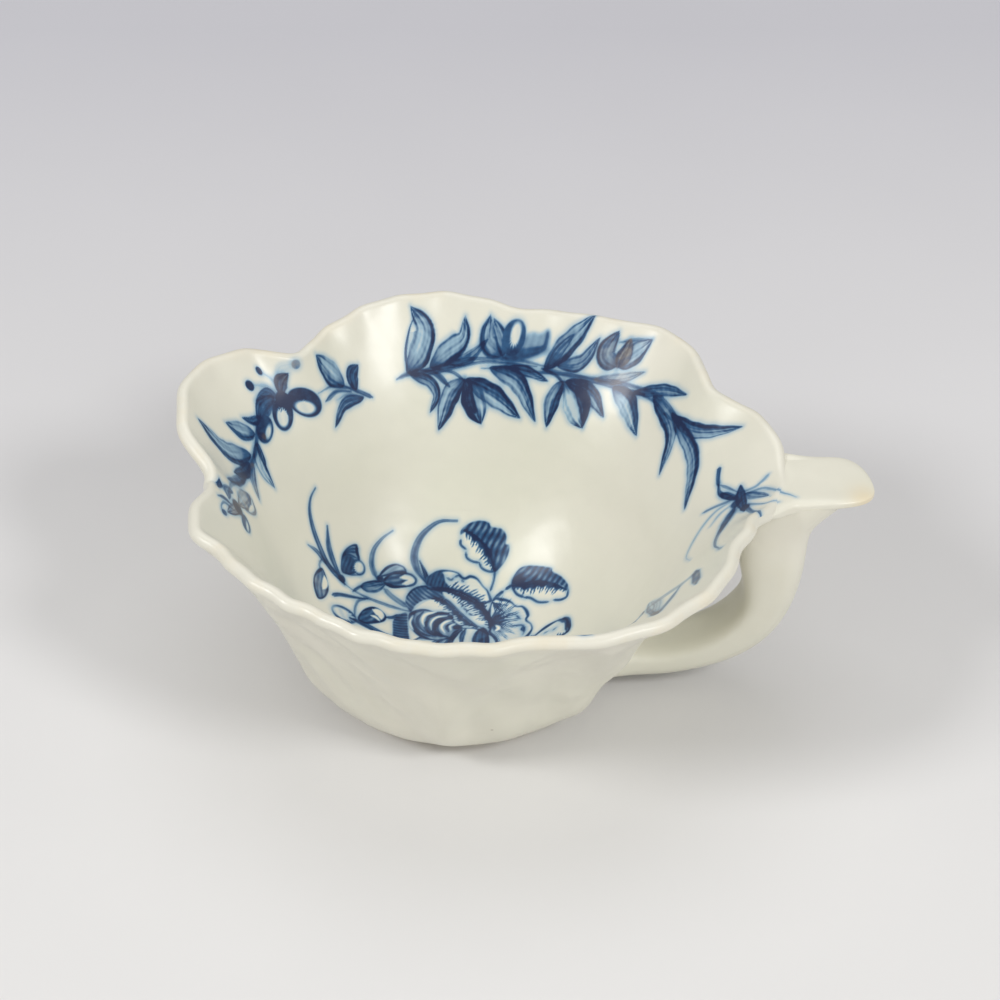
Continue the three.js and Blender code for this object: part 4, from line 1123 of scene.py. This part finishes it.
class InnerChart:
    """Positions on the inside of the cup by compass direction and distance from the floor's middle.

    Each meridian of the inside is measured along itself and read off at even steps, and a chart
    place is found by straight-line reading between the four table points round it.
    """

    columns, step = 720, 0.2
    wall_rings, bend_rings, lip_rings = 120, 80, 21

    def __init__(self, wall):
        angle = np.linspace(0, 2 * np.pi, self.columns, endpoint=False)
        rings = wall.inside(angle, self.wall_rings, self.bend_rings)[::-1]
        middle = np.zeros_like(rings[:1])
        middle[..., 2] = wall.floor
        inner_lip = wall.lip(angle, self.lip_rings)[: self.lip_rings // 2 - 1 : -1]
        rings = np.concatenate([middle, rings, inner_lip])
        size = np.linalg.norm(np.diff(rings, axis=0), axis=-1)
        way = np.concatenate([np.zeros((1, self.columns)), np.cumsum(size, axis=0)])
        self.limit = way[-1]
        grid = np.arange(0, self.limit.max() + self.step, self.step)
        read = [[np.interp(grid, way[:, i], rings[:, i, j]) for j in range(3)] for i in range(self.columns)]
        self.table = np.array(read).transpose(2, 0, 1)

    def rim(self, angle):
        place = np.mod(angle, 2 * np.pi) / (2 * np.pi) * self.columns
        return np.interp(place, np.arange(self.columns + 1), np.append(self.limit, self.limit[0]))

    def unroll(self, x, y):
        """Chart places of points seen from above, found by halving, the height of the surface there,
        how far out of the rim's crown they lie and how high the crown is. Past the crown the chart
        goes on level."""
        angle, far = np.arctan2(y, x), np.hypot(x, y)
        low, high = np.zeros_like(far), self.rim(angle)
        crown = self.points(high * np.cos(angle), high * np.sin(angle))
        past = far - np.hypot(crown[..., 0], crown[..., 1])
        for _ in range(24):
            middle = (low + high) / 2
            spot = self.points(middle * np.cos(angle), middle * np.sin(angle))
            short = np.hypot(spot[..., 0], spot[..., 1]) < far
            low, high = np.where(short, middle, low), np.where(short, high, middle)
        reach = high + np.maximum(past, 0)
        return reach * np.cos(angle), reach * np.sin(angle), spot[..., 2], past, crown[..., 2]

    def points(self, u, v):
        place = np.mod(np.arctan2(v, u), 2 * np.pi) / (2 * np.pi) * self.columns
        far = np.hypot(u, v) / self.step
        row = np.clip(far.astype(int), 0, len(self.table) - 2)
        column = place.astype(int)
        beside = (column + 1) % self.columns
        column = column % self.columns
        a, b = np.clip(far - row, 0, 1)[..., None], (place - np.floor(place))[..., None]
        low = self.table[row, column] * (1 - b) + self.table[row, beside] * b
        high = self.table[row + 1, column] * (1 - b) + self.table[row + 1, beside] * b
        return low * (1 - a) + high * a


def steps(size, grain=GRAIN):
    """Number of grid lines for a side of that size in millimetres, in whole coarse steps."""
    return int(math.ceil(size / grain / STEP)) * STEP + 1


def painted_sheet(name, chart, u, v, drawings, border, material):
    """A skin of glaze over the wall with the blue under it: a closed sheet lifted a hair off the wall,
    which sinks under the wall's own glaze toward its border."""
    top = chart.points(u, v)
    lifted = SHEET_LIFT * (1.8 * smooth(border, 0, 3.0) - 0.8)
    points, faces = slab(top + normals(top) * lifted[..., None], SHEET_LIFT + SHEET_DEPTH)
    brush = Brush(u, v)
    for drawing in drawings:
        drawing(brush)
    made = piece(name, points, faces, material, "cup_glaze")
    mark(made, "cobalt", brush.blue)
    mark(made, "umber", brush.umber)
    mark(made, "wear", bell(chart.rim(np.arctan2(v, u)) - np.hypot(u, v), 1.5))


def wall_sheet(name, chart, first, last, drawings, material, grain=GRAIN):
    """A painted sheet between two compass angles in degrees, from the lower wall up over the lip."""
    inner, mean_reach = 30.0, 38
    angles = np.radians(np.linspace(first, last, steps(math.radians(last - first) * mean_reach, grain)))
    rim = chart.rim(angles)[None] - 0.05
    place = np.linspace(0, 1, steps(rim.mean() - inner, grain))[:, None]
    far = rim + (inner - rim) * place
    painted_sheet(name, chart, far * np.cos(angles), far * np.sin(angles), drawings, far - inner, material)


class Nodes:
    """Short forms for laying out a material's nodes."""

    def __init__(self, name):
        old = bpy.data.materials.get(name)
        if old is not None:
            bpy.data.materials.remove(old)
        self.material = bpy.data.materials.new(name)
        self.material.use_nodes = True
        self.tree = self.material.node_tree
        self.shader = self.tree.nodes["Principled BSDF"].inputs
        self.object = self.add("ShaderNodeTexCoord").outputs["Object"]

    def feed(self, socket, value):
        """Gives a socket another node's output, a number or a colour."""
        if isinstance(value, bpy.types.NodeSocket):
            self.tree.links.new(value, socket)
        else:
            socket.default_value = (*value, 1.0) if hasattr(value, "__len__") else value

    def add(self, kind, inputs=None, **settings):
        node = self.tree.nodes.new(kind)
        for key, value in settings.items():
            setattr(node, key, value)
        for key, value in (inputs or {}).items():
            self.feed(node.inputs[key], value)
        return node

    def noise(self, scale, detail=3.0, roughness=0.5):
        inputs = {"Vector": self.object, "Scale": scale, "Detail": detail, "Roughness": roughness}
        return self.add("ShaderNodeTexNoise", inputs).outputs["Fac"]

    def span(self, value, low, high, start=0.0, end=1.0):
        inputs = {"Value": value, "From Min": low, "From Max": high, "To Min": start, "To Max": end}
        return self.add("ShaderNodeMapRange", inputs).outputs["Result"]

    def read(self, name):
        return self.add("ShaderNodeAttribute", attribute_name=name).outputs["Fac"]

    def combine(self, operation, a, b):
        return self.add("ShaderNodeMath", {0: a, 1: b}, operation=operation).outputs["Value"]

    def times(self, a, b):
        return self.combine("MULTIPLY", a, b)

    def plus(self, a, b):
        return self.combine("ADD", a, b)

    def mix(self, factor, a, b, blend="MIX"):
        inputs = {0: factor, 6: a, 7: b}
        return self.add("ShaderNodeMix", inputs, data_type="RGBA", blend_type=blend).outputs[2]

    def brighten(self, base, grey):
        """The colour times an even grey."""
        even = self.add("ShaderNodeCombineColor", {0: grey, 1: grey, 2: grey})
        return self.mix(1.0, base, even.outputs[0], "MULTIPLY")

    def ramp(self, value, stops):
        node = self.add("ShaderNodeValToRGB", {"Fac": value})
        band = node.color_ramp
        while len(band.elements) < len(stops):
            band.elements.new(0.5)
        for element, (place, rgb) in zip(band.elements, stops):
            element.position = place
            element.color = (*rgb, 1.0)
        return node.outputs["Color"]


def glaze_material(name, look, painted):
    """Clear glaze over white paste: uneven depth, specks, rubbed edges, and blue under it where painted."""
    n = Nodes(name)
    base = n.mix(n.span(n.noise(55.0, 2.0), 0.25, 0.75), look.glaze, look.glaze_deep)
    base = n.brighten(base, n.span(n.noise(240.0, 3.0, 0.6), 0.15, 0.85, 0.98, 1.015))
    grain = n.add("ShaderNodeTexVoronoi", {"Vector": n.object, "Scale": 210.0, "Randomness": 1.0})
    few = n.span(n.noise(130.0, 1.0), 0.58, 0.64)
    speck = n.times(n.span(grain.outputs["Distance"], 0.05, 0.025), few)
    base = n.mix(n.times(speck, 0.55), base, look.speck)
    wear, bare = n.read("wear"), n.read("bare")
    base = n.mix(n.times(wear, 0.5), base, look.crest)
    rubbed = n.times(wear, n.span(n.noise(160.0, 4.0, 0.65), 0.47, 0.7))
    base = n.mix(n.times(rubbed, 0.4), base, look.wear)
    base = n.mix(n.times(n.read("stain"), 0.75), base, look.wear)
    base = n.mix(bare, base, look.paste)
    if painted:
        white = (1.0, 1.0, 1.0)
        stops = ((0.0, white), (0.3, look.wash), (0.7, look.stroke), (0.92, look.pool))
        cobalt = n.read("cobalt")
        tint = n.ramp(n.times(cobalt, n.span(n.noise(900.0, 2.0), 0.2, 0.8, 0.86, 1.1)), stops)
        burnt = n.mix(cobalt, white, look.umber)
        tint = n.mix(n.times(n.read("umber"), n.span(n.noise(700.0), 0.35, 0.6)), tint, burnt)
        base = n.mix(1.0, base, tint, "MULTIPLY")
    n.feed(n.shader["Base Color"], base)
    soft = n.span(n.noise(90.0, 3.0), 0.3, 0.7, look.roughness - 0.015, look.roughness + 0.025)
    soft = n.plus(soft, n.times(rubbed, 0.18))
    n.feed(n.shader["Roughness"], n.plus(soft, n.times(bare, look.bare_roughness - look.roughness)))
    wavy = n.add("ShaderNodeBump", {"Height": n.noise(110.0, 2.0), "Strength": 0.35, "Distance": 0.0009})
    peel = {"Height": n.noise(1400.0, 2.0), "Strength": 0.08, "Distance": 0.00008}
    fine = n.add("ShaderNodeBump", {**peel, "Normal": wavy.outputs["Normal"]})
    n.feed(n.shader["Normal"], fine.outputs["Normal"])
    n.feed(n.shader["IOR"], 1.5)
    return n.material


class BUTTERBOAT_OT_leaf_cup(bpy.types.Operator):
    """Build the glazed leaf cup"""

    bl_idname = "butter_boat.leaf_cup"
    bl_label = "Leaf Cup"

    def execute(self, context):
        boat = context.scene.butter_boat
        wall = LeafWall(boat)
        angle = np.linspace(0, 2 * np.pi, 480, endpoint=False)
        t = np.linspace(0, 1, 72)
        outside = wall.points(angle, t) + wall.directions(angle, t)[1] * wall.relief(angle, t)[..., None]
        # Three rings round the foot's lower edge: how far inside the oval they lie, and how high.
        inset, height = np.array([0.35, 0.1, 0.0]), np.array([0.0, 0.1, 0.3])
        along = (wall.foot_half_length - inset)[:, None] * np.cos(angle)
        across = (wall.foot_half_width - inset)[:, None] * np.sin(angle)
        foot = np.stack([along, across, np.broadcast_to(height[:, None], along.shape)], -1)
        lip = wall.lip(angle, 11)
        rings = np.concatenate([foot, outside, lip, wall.inside(angle, 48, 44)])
        material = glaze_material("cup_glaze", boat.look, False)
        made = piece("leaf_cup_glazed", *lofted(rings), material, "cup_glaze", "leaf_cup")
        row = np.arange(len(rings))
        crown = len(foot) + len(t) + len(lip) // 2
        edge = np.where(row < len(foot), 0.8, bell(row - len(foot), 2.0))
        stain = np.where(row < len(foot), 0.5, 0.5 * bell(row - len(foot), 1.5))
        mark(made, "wear", np.repeat(np.maximum(bell(row - crown, 6.5), edge), len(angle)))
        mark(made, "stain", np.repeat(stain, len(angle)))
        bare = np.select([row < 2, row < 5], [1.0, 0.55], 0.0)
        mark(made, "bare", np.append(np.repeat(bare, len(angle)), 1.0))
        return {"FINISHED"}


class BUTTERBOAT_OT_loop_handle(bpy.types.Operator):
    """Build the strap loop that stands off the handle side"""

    bl_idname = "butter_boat.loop_handle"
    bl_label = "Loop Handle"

    def centre_line(self, cup, thumb, size):
        """Level out of the wall, then the superellipse quarter x = a sin(k)^(2/n), z = -b cos(k)^(2/n),
        then straight up, read at even steps of length and evened out by a bell curve."""
        a, b, power = size.arch_length, size.arch_height, 2 / 2.15
        turn = np.linspace(0, np.pi / 2, 120)
        x = cup.half_length + size.beyond_leaf - a + a * np.sin(turn) ** power
        z = size.low_height + b - b * np.clip(np.cos(turn), 0, 1) ** power
        top = cup.rim_height - thumb.dip - 0.8
        lead = np.linspace(cup.foot_half_length + cup.wall + 0.6, x[0], 20)[:-1]
        rise = np.linspace(z[-1], top, 40)[1:]
        lean = cup.wall / 3 * smooth(rise, z[-1], top)
        level = np.full_like(lead, z[0])
        line = np.stack([np.concatenate([lead, x, x[-1] + lean]), np.concatenate([level, z, rise])], -1)
        way = np.concatenate([[0], np.cumsum(np.hypot(*np.diff(line, axis=0).T))])
        places = np.linspace(0, 1, 150) * way[-1]
        centre = np.stack([np.interp(places, way, line[:, i]) for i in (0, 1)], -1)
        half = 9
        blur = np.exp(-0.5 * (np.arange(-half, half + 1) / 3.5) ** 2)
        before, after = centre[half:0:-1], centre[-2 : -half - 2 : -1]
        padded = np.concatenate([2 * centre[:1] - before, centre, 2 * centre[-1:] - after])
        return np.stack([np.convolve(padded[:, i], blur / blur.sum(), "valid") for i in (0, 1)], -1)

    def execute(self, context):
        """Each section across the centre line is the superellipse |across|^p, |depth|^p of the strap,
        hollowed on its inner face by 1 - across^2."""
        boat = context.scene.butter_boat
        cup, thumb, size = sizes(boat.cup), sizes(boat.thumb), sizes(boat.handle)
        centre = self.centre_line(cup, thumb, size)
        s = np.linspace(0, 1, len(centre))
        tangent = np.gradient(centre, axis=0)
        tangent /= np.linalg.norm(tangent, axis=-1, keepdims=True)
        out = np.stack([tangent[:, 1], -tangent[:, 0]], -1)
        root = bell(s, 0.09) * size.root_flare
        half = (size.thickness + (size.top_thickness - size.thickness) * smooth(s, 0.25, 1) ** 1.3) / 2
        wide = (size.width + (size.top_width - size.width) * s) / 2 + root * 0.55
        wide = wide + ((thumb.root_width - size.top_width) / 2 - 0.3) * smooth(s, 0.8, 0.97)
        arch = bell(s - 0.46, 0.2) + 0.45 * bell(s - 0.14, 0.14)
        run_out = size.top_flare * smooth(s, 0.8, 1.04) ** 2.2 + size.outer_swell * arch
        run_in = size.inner_swell * smooth(s, 0.5, 0.74)
        around = np.linspace(0, 2 * np.pi, 72, endpoint=False)
        across, depth = (np.sign(wave) * np.abs(wave) ** 0.76 for wave in (np.sin(around), np.cos(around)))
        reach = np.where(depth > 0, run_out[:, None], run_in[:, None]) + half[:, None] + root[:, None] * 0.5
        channel = (size.channel * (1 - 0.6 * root / (root.max() + 1e-6)))[:, None]
        shift = depth * reach + np.where(depth < 0, 1 - across**2, 0.0) * channel
        x = centre[:, :1] + out[:, :1] * shift
        y = np.broadcast_to(across, x.shape) * wide[:, None] + 0.55 * smooth(s, 0.7, 0.95)[:, None]
        cover = InnerChart(LeafWall(boat)).unroll(x, y)[2]
        z = np.minimum(centre[:, 1:] + out[:, 1:] * shift, cover - 0.7)
        material = glaze_material("handle_glaze", boat.look, False)
        rings = np.stack([x, y, z], -1)
        made = piece("loop_handle_glazed", *lofted(rings), material, "handle_glaze", "loop_handle")
        mark(made, "wear", np.broadcast_to(np.abs(across) ** 6 * 0.15, x.shape))
        return {"FINISHED"}


class BUTTERBOAT_OT_thumb_rest(bpy.types.Operator):
    """Build the flat thumb rest over the loop"""

    bl_idname = "butter_boat.thumb_rest"
    bl_label = "Thumb Rest"

    def execute(self, context):
        """Sections across the tongue are superellipses under a nearly level top. The outline ends in
        half an ellipse that leans to the near side, and the thickness falls from root to tip as
        (1 - s)^1.6. The top starts as a skin on the inside of the cup, rises with it over the rim
        and eases, by a smooth step, to the level of the tongue."""
        boat = context.scene.butter_boat
        cup, size = sizes(boat.cup), sizes(boat.thumb)
        seat = cup.half_length * LOBE_REACH[0] - size.seat
        tip = seat + size.length - 0.02
        start = seat - 3.2
        s = np.sin(np.linspace(0, np.pi / 2, 180)) ** 0.9
        x = (start + (tip - start) * s)[:, None]
        part = np.clip((x - seat) / size.length, 0, 1)
        round_end = np.clip((x - tip) / size.tip_round + 1, 0, 1)
        over = np.linspace(np.pi / 2, -np.pi / 2, 121)
        under = np.linspace(-np.pi / 2, np.pi / 2, 49)[1:-1]
        across = np.sin(np.concatenate([over, under]))
        depth = (1 - np.abs(across) ** 3.6) ** 0.25 * np.where(np.arange(across.size) < over.size, 1, -1)
        near = size.root_width + (size.tip_width - size.root_width) * part - size.far_width
        near = near + size.near_flare * (1 - smooth(x, seat - 0.6, seat + 3.2))
        half = np.where(across > 0, size.far_width, near) * (0.2 + 0.8 * smooth(x, start, start + 2.2))
        corner = np.where(across > 0, 2.7, 2.0)
        y = half * np.sqrt(1 - round_end**corner) * across - size.tip_lean * round_end**2
        thick = size.root_thickness + (size.tip_thickness - size.root_thickness) * (1 - (1 - part) ** 1.6)
        thick = thick * (0.35 + 0.65 * np.sqrt(1 - round_end**4))
        thick = thick * (0.25 + 0.75 * smooth(x, start + 1.0, seat + 5.0))
        x = np.broadcast_to(x, y.shape)
        u, v, wall_level, past, crown = InnerChart(LeafWall(boat)).unroll(x, y)
        ease = smooth(past, -2.6, 0.8)
        ridge = cup.rim_height - size.dip - size.fall * part**3
        ridge = ridge + np.maximum(crown + 0.06 - ridge, 0) * (1 - smooth(past, 0.2, 4.5))
        skin = wall_level + 0.045 * smooth(x, start, start + 2.5) - 0.01
        hollow = np.where(depth > 0, (1 - across**2) ** 1.2, 0.0) * size.dish * (1 - round_end) * ease
        z = skin + (ridge - skin) * ease - thick / 2 * (1 - depth) - hollow
        material = glaze_material("thumb_glaze", boat.look, True)
        rings = np.stack([x, y, z], -1)
        made = piece("thumb_rest_glazed", *lofted(rings), material, "thumb_glaze", "thumb_rest")
        worn = bell(x - tip + 1.3, 2.0) * bell(y + 2.5, 2.4)
        mark(made, "wear", np.clip(worn + 0.2 * np.abs(across) ** 8 * ease, 0, 1))
        mark(made, "stain", worn * (depth > -0.9))
        brush = Brush(u, v)
        insect(brush)
        mark(made, "cobalt", brush.blue * np.broadcast_to(depth > 0, y.shape).ravel())
        return {"FINISHED"}


class BUTTERBOAT_OT_painted_garlands(bpy.types.Operator):
    """Paint the two garlands on the far and near walls"""

    bl_idname = "butter_boat.painted_garlands"
    bl_label = "Painted Garlands"

    def execute(self, context):
        boat = context.scene.butter_boat
        chart = InnerChart(LeafWall(boat))
        material = glaze_material("painted_glaze", boat.look, True)
        wall_sheet("painted_far_garland", chart, 31, 112, (far_garland,), material)
        near = (near_garland, lip_spray, insect)
        wall_sheet("painted_near_garland", chart, -158, -27, near, material, grain=0.155)
        return {"FINISHED"}


class BUTTERBOAT_OT_painted_sprays(bpy.types.Operator):
    """Paint the flower spray by the lip and the insect by the handle"""

    bl_idname = "butter_boat.painted_sprays"
    bl_label = "Painted Sprays"

    def execute(self, context):
        chart = InnerChart(LeafWall(context.scene.butter_boat))
        material = bpy.data.materials["painted_glaze"]
        handle_side = (far_garland, near_garland, insect)
        wall_sheet("painted_handle_side", chart, -27, 31, handle_side, material)
        wall_sheet("painted_lip_spray", chart, 112, 202, (far_garland, lip_spray), material)
        return {"FINISHED"}


class BUTTERBOAT_OT_painted_bouquet(bpy.types.Operator):
    """Paint the rose and its leaves on the floor"""

    bl_idname = "butter_boat.painted_bouquet"
    bl_label = "Painted Bouquet"

    def execute(self, context):
        chart = InnerChart(LeafWall(context.scene.butter_boat))
        left, right, front, back = -26.4, 18.0, -7.4, 23.2
        u, v = np.meshgrid(
            np.linspace(left, right, steps(right - left)), np.linspace(front, back, steps(back - front))
        )
        border = np.minimum(np.minimum(u - left, right - u), np.minimum(v - front, back - v))
        material = bpy.data.materials["painted_glaze"]
        painted_sheet("painted_floor_bouquet", chart, u, v, (floor_bouquet,), border, material)
        return {"FINISHED"}


class BUTTERBOAT_OT_stage(bpy.types.Operator):
    """Set up the floor, the lamps, the room light and the camera"""

    bl_idname = "butter_boat.stage"
    bl_label = "Stage"

    def floor(self, look):
        """A sheet of paper a hair under the foot, with painted shade toward the back as the square of the
        way.
        """
        n = Nodes("floor_paper")
        apart = n.add("ShaderNodeSeparateXYZ", {"Vector": n.object})
        back = n.span(apart.outputs["Y"], look.near_y, look.far_y)
        # Painted shade: the floor's colour darkens toward the back, standing in for the light falling off.
        paper = n.mix(n.times(back, back), look.floor_near, look.floor_far_shaded)
        n.feed(n.shader["Base Color"], n.brighten(paper, n.span(n.noise(25.0, 2.0), 0.3, 0.7, 0.99, 1.01)))
        n.feed(n.shader["Roughness"], 0.9)
        n.feed(n.shader["Specular IOR Level"], 0.1)
        side, level = 1.6, -0.00003
        corners = [(-side, -side, level), (side, -side, level), (side, side, level), (-side, side, level)]
        mesh = bpy.data.meshes.new("floor")
        mesh.from_pydata(corners, [], [(0, 1, 2, 3)])
        mesh.materials.append(n.material)
        return bpy.data.objects.new("floor", mesh)

    def execute(self, context):
        look = context.scene.butter_boat.stage
        link = context.scene.collection.objects.link
        floor = self.floor(look)
        link(floor)

        # Each lamp's compass angle and height in degrees, its size in metres and its power.
        lamps = (
            ("left_box", -156.5, 41.6, 0.42, look.left_power),
            ("right_box", -43, 43.6, 0.36, look.right_power),
            ("top_light", 90, 72, 1.2, look.top_power),
            ("front_fill", -62, 14, 2.4, look.fill_power),
        )
        for name, turn, climb, size, power in lamps:
            data = bpy.data.lights.new(name, "AREA")
            data.shape, data.size, data.energy = "DISK", size, power
            lamp = bpy.data.objects.new(name, data)
            turn, climb = math.radians(turn), math.radians(climb)
            way = (math.cos(turn) * math.cos(climb), math.sin(turn) * math.cos(climb), math.sin(climb))
            lamp.location = np.array(way) * LAMP_DISTANCE
            lamp.rotation_euler = (math.pi / 2 - climb, 0, turn + math.pi / 2)
            link(lamp)

        world = bpy.data.worlds.new("room")
        context.scene.world = world
        world.use_nodes = True
        light = world.node_tree.nodes["Background"].inputs
        light["Color"].default_value = (1.0, 0.995, 0.985, 1.0)
        light["Strength"].default_value = look.world_light

        data = bpy.data.cameras.new("camera")
        data.lens, data.sensor_width = look.lens, 36.0
        camera = bpy.data.objects.new("camera", data)
        back = np.array([0.0, -math.cos(look.elevation), math.sin(look.elevation)])
        camera.location = np.array(look.aim) + back * look.distance
        camera.rotation_euler = (math.pi / 2 - look.elevation, 0, 0)
        link(camera)
        context.scene.camera = camera
        context.scene.view_settings.view_transform = "Standard"
        return {"FINISHED"}


class BUTTERBOAT_PT_build(bpy.types.Panel):
    """Buttons that build the butter boat, and its sizes and colours"""

    bl_idname = "BUTTERBOAT_PT_build"
    bl_label = "Leaf Butter Boat"
    bl_space_type = "VIEW_3D"
    bl_region_type = "UI"
    bl_category = "Butter Boat"

    def draw(self, context):
        for operator in OPERATORS:
            self.layout.operator(operator.bl_idname)
        boat = context.scene.butter_boat
        for group in (boat.cup, boat.handle, boat.thumb, boat.look, boat.stage):
            box = self.layout.box()
            for name in group.__annotations__:
                box.prop(group, name)


OPERATORS = (
    BUTTERBOAT_OT_leaf_cup,
    BUTTERBOAT_OT_loop_handle,
    BUTTERBOAT_OT_thumb_rest,
    BUTTERBOAT_OT_painted_garlands,
    BUTTERBOAT_OT_painted_sprays,
    BUTTERBOAT_OT_painted_bouquet,
    BUTTERBOAT_OT_stage,
)
GROUPS = (CupSizes, HandleSizes, ThumbSizes, GlazeLook, StageLook, BoatSettings)
CLASSES = (*GROUPS, *OPERATORS, BUTTERBOAT_PT_build)


def register():
    for kind in CLASSES:
        bpy.utils.register_class(kind)
    bpy.types.Scene.butter_boat = bpy.props.PointerProperty(
        type=BoatSettings, name="Butter Boat", description="Sizes and colours of the butter boat"
    )


def unregister():
    del bpy.types.Scene.butter_boat
    for kind in reversed(CLASSES):
        bpy.utils.unregister_class(kind)


def main():
    register()
    bpy.ops.butter_boat.leaf_cup()
    bpy.ops.butter_boat.loop_handle()
    bpy.ops.butter_boat.thumb_rest()
    bpy.ops.butter_boat.painted_garlands()
    bpy.ops.butter_boat.painted_sprays()
    bpy.ops.butter_boat.painted_bouquet()
    bpy.ops.butter_boat.stage()


if __name__ == "__main__":
    main()
